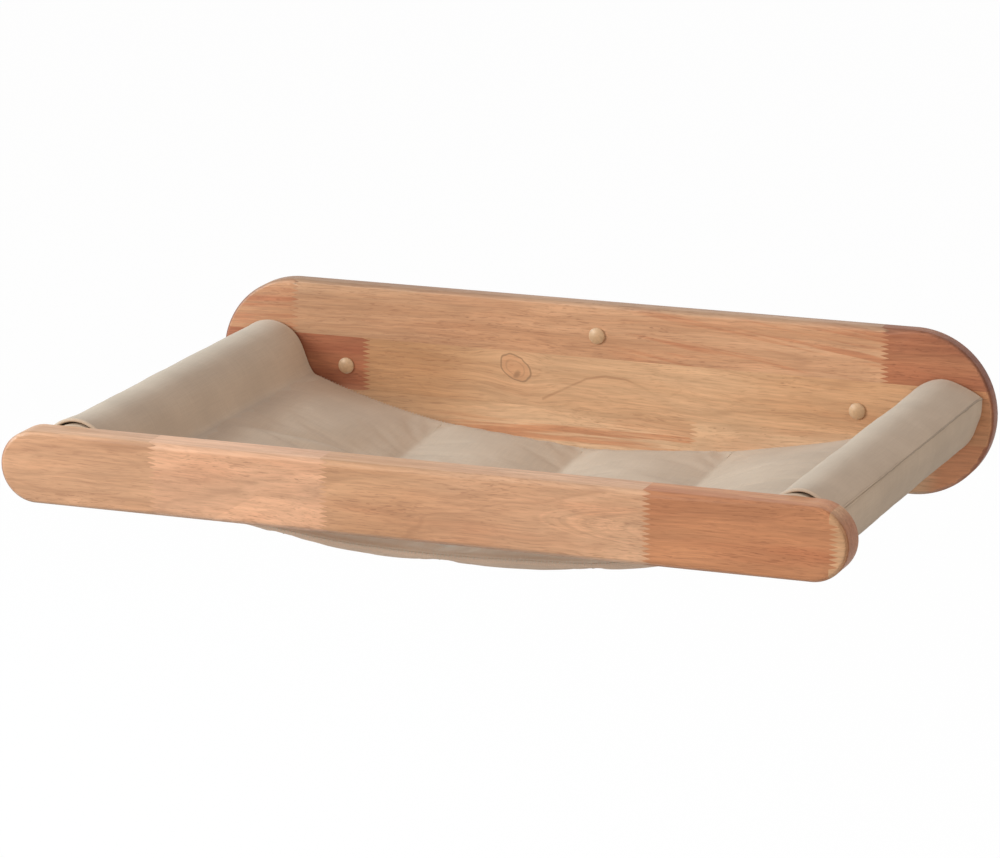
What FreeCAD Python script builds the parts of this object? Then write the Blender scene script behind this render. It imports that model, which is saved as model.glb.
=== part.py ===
# Wall mounted cat hammock: a finger-jointed back board, two arms that stand out from it, a front rail
# across their ends, and a quilted bed that hangs between two sleeves drawn over the arms.
# Millimetres. +X runs along the wall, +Y points into the wall and +Z is up.
# The origin is the centre of the board's rear face, which lies on the wall.
import FreeCAD, Part
import Sketcher
import math
import os
from collections import namedtuple
from FreeCAD import Vector

doc = FreeCAD.newDocument("cat_hammock")
nodes = []

# Driving sizes
SIZES = {
    "overall_width": 600.0,  # along the wall, which is also the front rail, end to end
    "overall_depth": 370.0,  # from the wall to the rail's front
    "board_inset": 5.0,  # back board's ends from the ends of the whole
    "board_height": 119.0,  # back board, top to bottom, with full round ends
    "board_thickness": 15.0,  # back board, wall face to front face
    "upper_left_joint": 58.4,  # upper strip's left finger joint from the board's left end
    "upper_right_joint": 79.6,  # upper strip's right finger joint from the board's right end
    "middle_joint": 115.0,  # middle strip's finger joint from the board's left end
    "lower_joint": 221.2,  # lower strip's finger joint from the board's right end
    "rail_height": 50.0,  # front rail, top to bottom, with full round ends
    "rail_thickness": 25.0,  # front rail, front to back
    "rail_left_joint": 113.4,  # rail's first finger joint from its left end
    "rail_middle_joint": 237.9,  # rail's second finger joint from its left end
    "rail_right_joint": 135.9,  # rail's third finger joint from its right end
    "rail_end_joint": 9.6,  # rail's last finger joint from its right end
    "edge_bevel": 2.4,  # eased edges of the board and the rail
    "finger_length": 6.5,  # length of a finger joint's fingers
    "finger_pitch": 3.4,  # cutter pitch, which is fitted to a whole number of fingers
    "planing": 6.0,  # excess that is planed off the glued blanks
    "arm_inset": 44.0,  # axis of an arm from the end of the whole
    "arm_diameter": 45.0,  # round bar of an arm
    "sleeve_gap": 0.4,  # slack of a sleeve around its arm
    "sleeve_wall": 5.1,  # padded canvas of a sleeve
    "sleeve_end_gap": 0.5,  # between a sleeve's end and the wood
    "seam_width": 5.0,  # outer seam past the round of the sleeve
    "seam_rise": 12.5,  # outer seam above the arm's axis
    "seam_round": 1.5,  # rounding of the outer seam
    "throat_width": 6.0,  # sewn line of bed and sleeve past the round of the sleeve
    "throat_drop": 10.5,  # sewn line of bed and sleeve below the arm's axis
    "bed_sag": 34.0,  # how far the bed's edges hang below its sewn ends
    "bed_belly": 10.0,  # how much further the bed hangs in the middle of its depth
    "bed_bow": 20.0,  # how far the bed's edges draw in at mid span
    "bed_seam": 6.4,  # bed at a quilting seam and where it is sewn to a sleeve
    "bed_seam_edge": 7.0,  # bed's edge at a quilting seam
    "bed_puff": 18.5,  # bed at a channel's crown
    "bed_edge": 9.0,  # bed's edge at a channel's crown
    "bed_shoulder": 6.0,  # width of the taper along the bed's edges
    "upper_hole_rise": 36.5,  # upper wall hole above the middle
    "side_hole_inset": 104.0,  # side wall hole from the end of the whole
    "side_hole_drop": 2.0,  # side wall holes below the middle
    "wall_hole": 5.5,  # diameter of a wall hole
    "wall_recess": 10.0,  # diameter of the recess for a wall screw's head and a cap's stem
    "screw_room": 3.5,  # depth that a cap's stem leaves for the head of a wall screw
    "cap_flange": 1.7,  # overhang of a screw cap's head past the recess
    "cap_rim": 1.2,  # upright rim of a screw cap
    "cap_dome": 2.2,  # rise of the dome above the rim
    "cap_stem": 4.5,  # length of a screw cap's stem
    "cap_wall": 1.64,  # wall of the hollow stem
    "cap_crown": 1.2,  # thickness of the dome above the hollow
    "slide_gap": 0.06,  # running clearance of a cap's stem, each side
    "bolt_diameter": 6.0,  # bolts from the board into the arms
    "bolt_reach": 15.8,  # length of a bolt inside its arm
    "bolt_head": 11.0,  # diameter of a bolt's head
    "bolt_head_rise": 4.0,  # height of a bolt's head
    "bolt_socket": 4.0,  # hexagon socket across flats
    "bolt_socket_depth": 2.2,  # depth of the hexagon socket
    "bolt_spacing": 23.0,  # between the two bolts of an arm
    "bolt_room": 0.3,  # clearance of a bolt in the board and the washer, each side
    "bolt_cover": 1.8,  # bolt heads below the board's rear face
    "washer_diameter": 13.0,  # washer under a bolt's head
    "washer_thickness": 1.2,  # washer under a bolt's head
    "washer_room": 0.5,  # clearance of a washer in its recess, each side
    "insert_diameter": 10.0,  # threaded insert in an arm
    "insert_length": 18.0,  # threaded insert in an arm
    "dowel_diameter": 10.0,  # dowel between an arm and the rail
    "dowel_in_rail": 16.0,  # length of a dowel inside the rail
    "dowel_in_arm": 20.0,  # length of a dowel inside its arm
    "dowel_spacing": 23.0,  # between the two dowels of an arm
    "glue_gap": 0.06,  # room around a dowel, an insert or a thread, each side
    "end_room": 0.5,  # room past the end of a dowel, an insert or a bolt
}
# Sizes that follow from the driving ones
FOLLOWING = {
    "board_length": "=overall_width - 2 * board_inset",
    "arm_spacing": "=overall_width - 2 * arm_inset",
    "arm_length": "=overall_depth - board_thickness - rail_thickness",
    "side_hole_spacing": "=overall_width - 2 * side_hole_inset",
}
sheet = doc.addObject("Spreadsheet::Sheet", "Sizes")
for row, (name, content) in enumerate([*SIZES.items(), *FOLLOWING.items()], start=1):
    sheet.set("A%d" % row, name)
    sheet.set("B%d" % row, str(content))
    sheet.setAlias("B%d" % row, name)
doc.recompute()


def value_of(text):
    """Value of a formula over the sheet with the sizes as they stand."""
    return float(sheet.evalExpression(text))


# Helpers for bodies and sketches
def new_body(name, across="0", along="0", up="0", many=False):
    body = doc.addObject("PartDesign::Body", name)
    body.Label = name
    body.AllowCompound = many
    body.setExpression("Placement.Base.x", across)
    body.setExpression("Placement.Base.y", along)
    body.setExpression("Placement.Base.z", up)
    return body


def new_sketch(body, name, plane, offset="0"):
    """Sketch on an origin plane of its body, moved along the plane's normal."""
    support = [item for item in body.Origin.OriginFeatures if item.Role == plane][0]
    sketch = body.newObject("Sketcher::SketchObject", name)
    sketch.AttachmentSupport = (support, [""])
    sketch.MapMode = "FlatFace"
    sketch.setExpression("AttachmentOffset.Base.z", offset)
    return sketch


def bind(sketch, kind, *arguments):
    """Add a dimension whose last argument is a formula."""
    text = arguments[-1]
    index = sketch.addConstraint(Sketcher.Constraint(kind, *arguments[:-1], value_of(text)))
    sketch.setExpression("Constraints[%d]" % index, text)


def locate(sketch, geometry, vertex, place):
    """Dimension a vertex from the sketch's origin."""
    bind(sketch, "DistanceX", -1, 1, geometry, vertex, place[0])
    bind(sketch, "DistanceY", -1, 1, geometry, vertex, place[1])


def draw_outline(sketch, corners, bulges=None):
    """Closed outline through corners. An edge with a bulge point is an arc through that point."""
    bulges = bulges or {}
    places = [Vector(value_of(u), value_of(v), 0) for u, v in corners]
    edges = []
    for index, place in enumerate(places):
        following = places[(index + 1) % len(places)]
        if index in bulges:
            middle = Vector(value_of(bulges[index][0]), value_of(bulges[index][1]), 0)
            curve = Part.Arc(place, middle, following)
            forward = (middle - place).cross(following - middle).z > 0
            edges.append((sketch.addGeometry(curve, False), forward))
        else:
            edges.append((sketch.addGeometry(Part.LineSegment(place, following), False), True))
    for index, (edge, forward) in enumerate(edges):
        following, following_forward = edges[(index + 1) % len(edges)]
        last = 2 if forward else 1
        first = 1 if following_forward else 2
        sketch.addConstraint(Sketcher.Constraint("Coincident", edge, last, following, first))
    for index, (edge, forward) in enumerate(edges):
        locate(sketch, edge, 1 if forward else 2, corners[index])
    for index, place in bulges.items():
        middle = Vector(value_of(place[0]), value_of(place[1]), 0)
        point = sketch.addGeometry(Part.Point(middle), True)
        locate(sketch, point, 1, place)
        sketch.addConstraint(Sketcher.Constraint("PointOnObject", point, 1, edges[index][0]))


def draw_circles(sketch, centres, diameter):
    """Equal circles at the given centres."""
    circles = []
    for centre in centres:
        place = Vector(value_of(centre[0]), value_of(centre[1]), 0)
        circle = sketch.addGeometry(Part.Circle(place, Vector(0, 0, 1), value_of(diameter) / 2), False)
        locate(sketch, circle, 3, centre)
        circles.append(circle)
    bind(sketch, "Diameter", circles[0], diameter)
    for circle in circles[1:]:
        sketch.addConstraint(Sketcher.Constraint("Equal", circles[0], circle))


def add_pad(body, sketch, length):
    pad = body.newObject("PartDesign::Pad", sketch.Name + "_pad")
    pad.Profile = sketch
    pad.setExpression("Length", length)
    doc.recompute()
    return pad


def add_pocket(body, sketch, depth, backwards=False):
    pocket = body.newObject("PartDesign::Pocket", sketch.Name + "_pocket")
    pocket.Profile = sketch
    pocket.Reversed = backwards
    pocket.setExpression("Length", depth)
    doc.recompute()
    return pocket


def add_revolution(body, sketch):
    """Turn a half section in the YZ plane about the Y direction."""
    turned = body.newObject("PartDesign::Revolution", sketch.Name + "_turned")
    turned.Profile = sketch
    turned.ReferenceAxis = (sketch, ["H_Axis"])
    turned.Angle = 360
    doc.recompute()
    return turned


def add_row(body, features, sketch, length, count):
    """Repeat features upwards."""
    pattern = body.newObject("PartDesign::LinearPattern", features[0].Name + "_row")
    pattern.Originals = features
    pattern.Direction = (sketch, ["V_Axis"])
    pattern.setExpression("Length", length)
    pattern.setExpression("Occurrences", count)
    body.Tip = pattern
    doc.recompute()
    return pattern


def dress_edges(body, feature, kind, setting, size, chosen):
    """Fillet or chamfer the edges of a feature that a test picks out."""
    edges = enumerate(feature.Shape.Edges, start=1)
    names = ["Edge%d" % number for number, edge in edges if chosen(edge)]
    dressed = body.newObject("PartDesign::" + kind, feature.Name + "_" + kind.lower())
    dressed.Base = (feature, names)
    dressed.setExpression(setting, size)
    body.Tip = dressed
    doc.recompute()
    return dressed


def is_level(edge, depth):
    """True for an edge that lies in the plane at this depth along Y."""
    return all(abs(point.y - depth) < 0.001 for point in edge.discretize(5))


# Back board and front rail as planed blanks with round ends, eased edges and holes
def make_blank(name, length, height, thickness, along):
    body = new_body(name, along=along)
    half_straight = "(%s - %s) / 2" % (length, height)
    sketch = new_sketch(body, name + "_outline", "XZ_Plane")
    corners = [
        ("-" + half_straight, "-%s / 2" % height),
        (half_straight, "-%s / 2" % height),
        (half_straight, "%s / 2" % height),
        ("-" + half_straight, "%s / 2" % height),
    ]
    bulges = {1: ("%s / 2" % length, "0"), 3: ("-%s / 2" % length, "0")}
    draw_outline(sketch, corners, bulges)
    pad = add_pad(body, sketch, thickness)
    front = -value_of(thickness)

    def is_rim(edge):
        return is_level(edge, 0) or is_level(edge, front)

    dress_edges(body, pad, "Chamfer", "Size", "Sizes.edge_bevel", is_rim)
    return body


def drill(body, name, centres, diameter, depth, from_front=None):
    """Round holes from the rear face, or from the front face of a body of the given thickness."""
    sketch = new_sketch(body, name, "XZ_Plane", from_front or "0")
    draw_circles(sketch, centres, diameter)
    add_pocket(body, sketch, depth, backwards=from_front is None)


rail_rear = "-Sizes.board_thickness - Sizes.arm_length"
bolt_recess = "(Sizes.bolt_cover + Sizes.bolt_head_rise + Sizes.washer_thickness)"
bolt_hole = "(Sizes.bolt_diameter + 2 * Sizes.bolt_room)"
washer_recess = "(Sizes.washer_diameter + 2 * Sizes.washer_room)"
insert_hole = "(Sizes.insert_diameter + 2 * Sizes.glue_gap)"
dowel_hole = "(Sizes.dowel_diameter + 2 * Sizes.glue_gap)"
side_pairs = [(side + "Sizes.arm_spacing / 2", level) for side in ("-", "") for level in ("-", "")]
bolt_places = [(across, level + "Sizes.bolt_spacing / 2") for across, level in side_pairs]
dowel_places = [(across, level + "Sizes.dowel_spacing / 2") for across, level in side_pairs]
wall_places = [
    ("0", "Sizes.upper_hole_rise"),
    ("-Sizes.side_hole_spacing / 2", "-Sizes.side_hole_drop"),
    ("Sizes.side_hole_spacing / 2", "-Sizes.side_hole_drop"),
]

board = make_blank("board_blank", "Sizes.board_length", "Sizes.board_height", "Sizes.board_thickness", "0")
drill(board, "wall_holes", wall_places, "Sizes.wall_hole", "Sizes.board_thickness")
wall_recess_depth = "Sizes.cap_stem + Sizes.screw_room"
drill(board, "wall_recesses", wall_places, "Sizes.wall_recess", wall_recess_depth, "Sizes.board_thickness")
drill(board, "bolt_holes", bolt_places, bolt_hole, "Sizes.board_thickness")
drill(board, "bolt_recesses", bolt_places, washer_recess, bolt_recess)

rail = make_blank("rail_blank", "Sizes.overall_width", "Sizes.rail_height", "Sizes.rail_thickness", rail_rear)
drill(rail, "rail_dowel_holes", dowel_places, dowel_hole, "Sizes.dowel_in_rail + Sizes.end_room")


# Blocks of wood that make up the board and the rail. The fingers of one block fit the notches of the next.
# Fingers are left out at both edges of a joint where the round end of the blank would cut them off.
Strip = namedtuple("Strip", "blank rear length thickness low high stock_low stock_high")
Joint = namedtuple("Joint", "place left_out")


def finger_count(strip):
    return "round((%s - (%s)) / Sizes.finger_pitch)" % (strip.high, strip.low)


def finger_step(strip):
    return "((%s - (%s)) / %s)" % (strip.high, strip.low, finger_count(strip))


def make_block(name, strip, left, right):
    """One block of a strip. Each end is a finger joint, or with none it is planed to the blank's outline."""
    body = new_body(name + "_stock", along=strip.rear)
    start = "-%s / 2 - Sizes.planing" % strip.length
    stop = "%s / 2 + Sizes.planing" % strip.length
    if left:
        start = left.place + " - Sizes.finger_length / 2"
    if right:
        stop = right.place + " - Sizes.finger_length / 2"
    depth = strip.thickness + " + 2 * Sizes.planing"
    bar = new_sketch(body, name + "_bar", "XZ_Plane", "-Sizes.planing")
    corners = [
        (start, strip.stock_low),
        (stop, strip.stock_low),
        (stop, strip.stock_high),
        (start, strip.stock_high),
    ]
    draw_outline(bar, corners)
    add_pad(body, bar, depth)
    step = finger_step(strip)
    for end, joint, root in (("notch", left, start), ("finger", right, stop)):
        if joint is None:
            continue
        tooth = new_sketch(body, "%s_%s" % (name, end), "XZ_Plane", "-Sizes.planing")
        low = "%s + %s * %s" % (strip.low, step, joint.left_out)
        tip = (root + " + Sizes.finger_length", "%s + %s / 2" % (low, step))
        draw_outline(tooth, [(root, low), tip, (root, "%s + %s" % (low, step))])
        if end == "finger":
            first = add_pad(body, tooth, depth)
        else:
            first = add_pocket(body, tooth, depth, backwards=True)
        count = "(%s - 2 * %s)" % (finger_count(strip), joint.left_out)
        add_row(body, [first], tooth, "%s * (%s - 1)" % (step, count), count)
    block = doc.addObject("Part::Common", name)
    block.Label = name
    block.Base = strip.blank
    block.Tool = body
    doc.recompute()
    nodes.append(block)


def make_strip(names, strip, joints):
    """All blocks of a strip, from left to right."""
    for name, left, right in zip(names, [None, *joints], [*joints, None]):
        make_block(name, strip, left, right)


def from_left(length, distance, left_out="0"):
    return Joint("-%s / 2 + %s" % (length, distance), left_out)


def from_right(length, distance, left_out="0"):
    return Joint("%s / 2 - %s" % (length, distance), left_out)


def board_strip(low, high, stock_low, stock_high):
    return Strip(board, "0", "Sizes.board_length", "Sizes.board_thickness", low, high, stock_low, stock_high)


top_edge = "Sizes.board_height / 2"
upper_line = "Sizes.board_height / 6"
lower_line = "-" + upper_line
bottom_edge = "-" + top_edge
upper_strip = board_strip(upper_line, top_edge, upper_line, top_edge + " + Sizes.planing")
middle_strip = board_strip(lower_line, upper_line, lower_line, upper_line)
lower_strip = board_strip(bottom_edge, lower_line, bottom_edge + " - Sizes.planing", lower_line)
upper_joints = [
    from_left("Sizes.board_length", "Sizes.upper_left_joint"),
    from_right("Sizes.board_length", "Sizes.upper_right_joint"),
]
middle_joints = [from_left("Sizes.board_length", "Sizes.middle_joint")]
lower_joints = [from_right("Sizes.board_length", "Sizes.lower_joint")]
upper_names = ["board_upper_%s_block" % place for place in ("left", "middle", "right")]
middle_names = ["board_middle_%s_block" % place for place in ("left", "right")]
lower_names = ["board_lower_%s_block" % place for place in ("left", "right")]
make_strip(upper_names, upper_strip, upper_joints)
make_strip(middle_names, middle_strip, middle_joints)
make_strip(lower_names, lower_strip, lower_joints)

rail_edge = "Sizes.rail_height / 2"
rail_levels = ("-" + rail_edge, rail_edge, "-%s - Sizes.planing" % rail_edge, rail_edge + " + Sizes.planing")
rail_strip = Strip(rail, rail_rear, "Sizes.overall_width", "Sizes.rail_thickness", *rail_levels)
# The last joint lies in the rail's round end, so it has only the fingers that fit under the round there.
end_depth = "(Sizes.rail_end_joint - Sizes.finger_length / 2)"
end_half_height = "sqrt(%s * (Sizes.rail_height - %s))" % (end_depth, end_depth)
end_left_out = "ceil((%s - %s) / %s)" % (rail_edge, end_half_height, finger_step(rail_strip))
rail_joints = [
    from_left("Sizes.overall_width", "Sizes.rail_left_joint"),
    from_left("Sizes.overall_width", "Sizes.rail_middle_joint"),
    from_right("Sizes.overall_width", "Sizes.rail_right_joint"),
    from_right("Sizes.overall_width", "Sizes.rail_end_joint", end_left_out),
]
make_strip(["rail_block_%d" % number for number in range(1, 6)], rail_strip, rail_joints)


# Arms
def make_arm(name, side):
    body = new_body(name, side + "Sizes.arm_spacing / 2", "-Sizes.board_thickness")
    sketch = new_sketch(body, name + "_round", "XZ_Plane")
    draw_circles(sketch, [("0", "0")], "Sizes.arm_diameter")
    add_pad(body, sketch, "Sizes.arm_length")
    insert_places = [("0", level + "Sizes.bolt_spacing / 2") for level in ("-", "")]
    insert_depth = "max(Sizes.insert_length + Sizes.end_room; Sizes.bolt_reach) + Sizes.end_room"
    drill(body, name + "_insert_holes", insert_places, insert_hole, insert_depth)
    front_places = [("0", level + "Sizes.dowel_spacing / 2") for level in ("-", "")]
    dowel_depth = "Sizes.dowel_in_arm + Sizes.end_room"
    drill(body, name + "_dowel_holes", front_places, dowel_hole, dowel_depth, "Sizes.arm_length")
    nodes.append(body)


# Sleeves: a tube whose two layers meet in a seam on the outer side and where the bed is sewn on
sleeve_radius = "(Sizes.arm_diameter / 2 + Sizes.sleeve_gap + Sizes.sleeve_wall)"
throat_reach = "(%s + Sizes.throat_width)" % sleeve_radius


def make_sleeve(name, side):
    outward = 1 if side == "" else -1
    body = new_body(name, side + "Sizes.arm_spacing / 2", "-Sizes.board_thickness - Sizes.sleeve_end_gap")
    sketch = new_sketch(body, name + "_section", "XZ_Plane")
    radius = value_of(sleeve_radius)
    sign = "" if outward > 0 else "-"
    back_sign = "-" if outward > 0 else ""
    seam_text = ("%s(%s + Sizes.seam_width)" % (sign, sleeve_radius), "Sizes.seam_rise")
    upper_text = (back_sign + throat_reach, "-Sizes.throat_drop + Sizes.bed_seam / 2")
    lower_text = (back_sign + throat_reach, "-Sizes.throat_drop - Sizes.bed_seam / 2")

    def touch(text, turn):
        """Point where a line from a corner touches the round of the sleeve."""
        corner = Vector(value_of(text[0]), value_of(text[1]), 0)
        angle = math.atan2(corner.y, corner.x) + turn * math.acos(radius / corner.Length)
        return corner, angle

    def on_round(angle):
        return Vector(radius * math.cos(angle), radius * math.sin(angle), 0)

    seam, seam_top = touch(seam_text, outward)
    seam_bottom = touch(seam_text, -outward)[1]
    upper, throat_top = touch(upper_text, -outward)
    lower, throat_bottom = touch(lower_text, outward)
    round_curve = Part.Circle(Vector(0, 0, 0), Vector(0, 0, 1), radius)
    if outward > 0:
        top_arc = Part.ArcOfCircle(round_curve, seam_top, throat_top)
        bottom_arc = Part.ArcOfCircle(round_curve, throat_bottom, seam_bottom)
        top_first, top_last, bottom_first, bottom_last = 1, 2, 1, 2
    else:
        top_arc = Part.ArcOfCircle(round_curve, throat_top, seam_top)
        bottom_arc = Part.ArcOfCircle(round_curve, seam_bottom, throat_bottom)
        top_first, top_last, bottom_first, bottom_last = 2, 1, 2, 1
    top = sketch.addGeometry(top_arc, False)
    bottom = sketch.addGeometry(bottom_arc, False)
    seam_over = sketch.addGeometry(Part.LineSegment(seam, on_round(seam_top)), False)
    throat_over = sketch.addGeometry(Part.LineSegment(on_round(throat_top), upper), False)
    throat_face = sketch.addGeometry(Part.LineSegment(upper, lower), False)
    throat_under = sketch.addGeometry(Part.LineSegment(lower, on_round(throat_bottom)), False)
    seam_under = sketch.addGeometry(Part.LineSegment(on_round(seam_bottom), seam), False)
    for arc in (top, bottom):
        sketch.addConstraint(Sketcher.Constraint("Coincident", arc, 3, -1, 1))
        bind(sketch, "Radius", arc, sleeve_radius)
    for line, line_end, arc, arc_end in (
        (seam_over, 2, top, top_first), (throat_over, 1, top, top_last),
        (throat_under, 2, bottom, bottom_first), (seam_under, 1, bottom, bottom_last),
    ):
        sketch.addConstraint(Sketcher.Constraint("Tangent", line, line_end, arc, arc_end))
    sketch.addConstraint(Sketcher.Constraint("Coincident", seam_under, 2, seam_over, 1))
    sketch.addConstraint(Sketcher.Constraint("Coincident", throat_over, 2, throat_face, 1))
    sketch.addConstraint(Sketcher.Constraint("Coincident", throat_face, 2, throat_under, 1))
    locate(sketch, seam_over, 1, seam_text)
    locate(sketch, throat_face, 1, upper_text)
    locate(sketch, throat_face, 2, lower_text)
    draw_circles(sketch, [("0", "0")], "Sizes.arm_diameter + 2 * Sizes.sleeve_gap")
    pad = add_pad(body, sketch, "Sizes.arm_length - 2 * Sizes.sleeve_end_gap")

    def is_seam(edge):
        ends = [vertex.Point for vertex in edge.Vertexes]
        beside = [math.hypot(end.x - seam.x, end.z - seam.y) < 0.01 for end in ends]
        return len(ends) == 2 and all(beside)

    dress_edges(body, pad, "Fillet", "Radius", "Sizes.seam_round", is_seam)
    nodes.append(body)


# Quilted bed: four channels, each lofted from one quilting seam over its crown to the next seam
CHANNELS = 4


def make_bed(name):
    body = new_body(name, along="-Sizes.board_thickness - Sizes.arm_length / 2")
    half_span = "(Sizes.arm_spacing / 2 - %s)" % throat_reach
    sections = []
    for index in range(2 * CHANNELS + 1):
        share = index / CHANNELS - 1
        crown = index % 2 == 1
        seams = (share - 1 / CHANNELS, share + 1 / CHANNELS) if crown else (share,)
        hang = 1 - share * share
        carried = 1 - sum(seam * seam for seam in seams) / len(seams)
        edge = "Sizes.bed_edge" if crown else "Sizes.bed_seam_edge"
        thickness = "Sizes.bed_puff" if crown else "Sizes.bed_seam"
        half_depth = "(Sizes.arm_length / 2 - Sizes.sleeve_end_gap - Sizes.bed_bow * %s)" % hang
        level = "(-Sizes.throat_drop - Sizes.bed_sag * %s)" % hang
        middle = "(-Sizes.throat_drop - (Sizes.bed_sag + Sizes.bed_belly) * %s)" % carried
        inner = "(%s - Sizes.bed_shoulder)" % half_depth
        corners = [
            ("-" + half_depth, level),
            ("-" + inner, "%s - %s / 2" % (level, edge)),
            (inner, "%s - %s / 2" % (level, edge)),
            (half_depth, level),
            (inner, "%s + %s / 2" % (level, edge)),
            ("-" + inner, "%s + %s / 2" % (level, edge)),
        ]
        bulges = {
            1: ("0", "%s - %s / 2" % (middle, thickness)),
            4: ("0", "%s + %s / 2" % (middle, thickness)),
        }
        place = "%s * %s" % (half_span, share)
        sketch = new_sketch(body, "%s_section_%d" % (name, index), "YZ_Plane", place)
        draw_outline(sketch, corners, bulges)
        sections.append(sketch)
    doc.recompute()
    for channel in range(CHANNELS):
        loft = body.newObject("PartDesign::AdditiveLoft", "%s_channel_%d" % (name, channel + 1))
        loft.Profile = sections[2 * channel]
        loft.Sections = [sections[2 * channel + 1], sections[2 * channel + 2]]
        body.Tip = loft
        doc.recompute()
    nodes.append(body)


# Screw caps, pushed into the recesses of the wall holes. The dome is turned in two slopes that lie on a ball
# and meet at this share of the head's radius.
DOME_STEP = 0.6


def make_cap(name, place):
    body = new_body(name, place[0], "-Sizes.board_thickness", place[1])
    sketch = new_sketch(body, name + "_section", "YZ_Plane")
    stem = "(Sizes.wall_recess / 2 - Sizes.slide_gap)"
    hollow = "(%s - Sizes.cap_wall)" % stem
    head = "(Sizes.wall_recess / 2 + Sizes.cap_flange)"
    top = "(-Sizes.cap_rim - Sizes.cap_dome)"
    corners = [
        (top, "0"),
        (top + " + Sizes.cap_crown", "0"),
        (top + " + Sizes.cap_crown", hollow),
        ("Sizes.cap_stem", hollow),
        ("Sizes.cap_stem", stem),
        ("0", stem),
        ("0", head),
        ("-Sizes.cap_rim", head),
    ]
    ball = "((Sizes.cap_dome * Sizes.cap_dome + %s * %s) / (2 * Sizes.cap_dome))" % (head, head)
    out = "(%s * %s)" % (head, DOME_STEP)
    corners.append(("%s + %s - sqrt(%s * %s - %s * %s)" % (top, ball, ball, ball, out, out), out))
    draw_outline(sketch, corners)
    add_revolution(body, sketch)
    nodes.append(body)


# Fasteners, two to an arm. Equal ones share a node.
def make_set(name, along, corners, spacing, socket=False):
    """A turned piece, its twin above it, and the same two on the other arm."""
    body = new_body(name, "-Sizes.arm_spacing / 2", along, "-%s / 2" % spacing, many=True)
    sketch = new_sketch(body, name + "_section", "YZ_Plane")
    draw_outline(sketch, corners)
    features = [add_revolution(body, sketch)]
    if socket:
        key = new_sketch(body, name + "_socket", "XZ_Plane", "-Sizes.bolt_head_rise")
        flat = "Sizes.bolt_socket / 2"
        tip = "Sizes.bolt_socket / 2 / cos(30)"
        slant = "Sizes.bolt_socket / 2 * tan(30)"
        draw_outline(key, [(slant, "-" + flat), (tip, "0"), (slant, flat),
                           ("-" + slant, flat), ("-" + tip, "0"), ("-" + slant, "-" + flat)])
        features.append(add_pocket(body, key, "Sizes.bolt_socket_depth", backwards=True))
    spread = body.newObject("PartDesign::MultiTransform", name + "_spread")
    spread.Originals = features
    steps = (("_up", "V_Axis", spacing), ("_across", "N_Axis", "Sizes.arm_spacing"))
    transformations = []
    for suffix, axis, length in steps:
        pattern = doc.addObject("PartDesign::LinearPattern", name + suffix)
        pattern.Direction = (sketch, [axis])
        pattern.setExpression("Length", length)
        pattern.Occurrences = 2
        body.addObject(pattern)
        transformations.append(pattern)
    spread.Transformations = transformations
    body.Tip = spread
    doc.recompute()
    nodes.append(body)


def ring(inner, outer, rear, front):
    """Half section of a ring, or of a round bar where the inner radius is nothing."""
    return [(front, inner), (rear, inner), (rear, outer), (front, outer)]


shank = "(Sizes.bolt_diameter / 2 - Sizes.glue_gap)"
bolt_length = "(Sizes.bolt_reach + Sizes.board_thickness - %s + Sizes.washer_thickness)" % bolt_recess
bolt = [
    ("-" + bolt_length, "0"),
    ("Sizes.bolt_head_rise", "0"),
    ("Sizes.bolt_head_rise", "Sizes.bolt_head / 2"),
    ("0", "Sizes.bolt_head / 2"),
    ("0", shank),
    ("-" + bolt_length, shank),
]
washer = ring(bolt_hole + " / 2", "Sizes.washer_diameter / 2", "Sizes.washer_thickness", "0")
insert = ring("Sizes.bolt_diameter / 2", "Sizes.insert_diameter / 2", "0", "-Sizes.insert_length")
dowel = ring("0", "Sizes.dowel_diameter / 2", "Sizes.dowel_in_arm", "-Sizes.dowel_in_rail")
make_set("arm_bolts", "-%s + Sizes.washer_thickness" % bolt_recess, bolt, "Sizes.bolt_spacing", socket=True)
make_set("arm_washers", "-" + bolt_recess, washer, "Sizes.bolt_spacing")
make_set("arm_inserts", "-Sizes.board_thickness - Sizes.end_room", insert, "Sizes.bolt_spacing")
make_set("rail_dowels", rail_rear, dowel, "Sizes.dowel_spacing")

for side_name, side in (("left", "-"), ("right", "")):
    make_arm(side_name + "_arm", side)
    make_sleeve(side_name + "_sleeve", side)
make_bed("quilted_bed")
for name, place in zip(("cap_top", "cap_left", "cap_right"), wall_places):
    make_cap(name, place)
doc.recompute()

# Every feature must have computed before the pieces are written
for item in doc.Objects:
    if "Invalid" in item.State or "Error" in item.State:
        raise RuntimeError("%s did not compute: %s" % (item.Name, item.State))
os.makedirs("parts", exist_ok=True)
for node in nodes:
    if node.Shape.isNull() or not node.Shape.isValid() or not node.Shape.Solids:
        raise RuntimeError("%s has no valid solid" % node.Label)
    node.Shape.exportStep("parts/%s.step" % node.Label)
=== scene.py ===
"""Looks of the wall mounted cat hammock: finger-jointed wood, canvas sleeves, quilted bed, screw caps."""
import math
import bpy
import numpy as np
from mathutils import Matrix, Vector, noise


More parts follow.
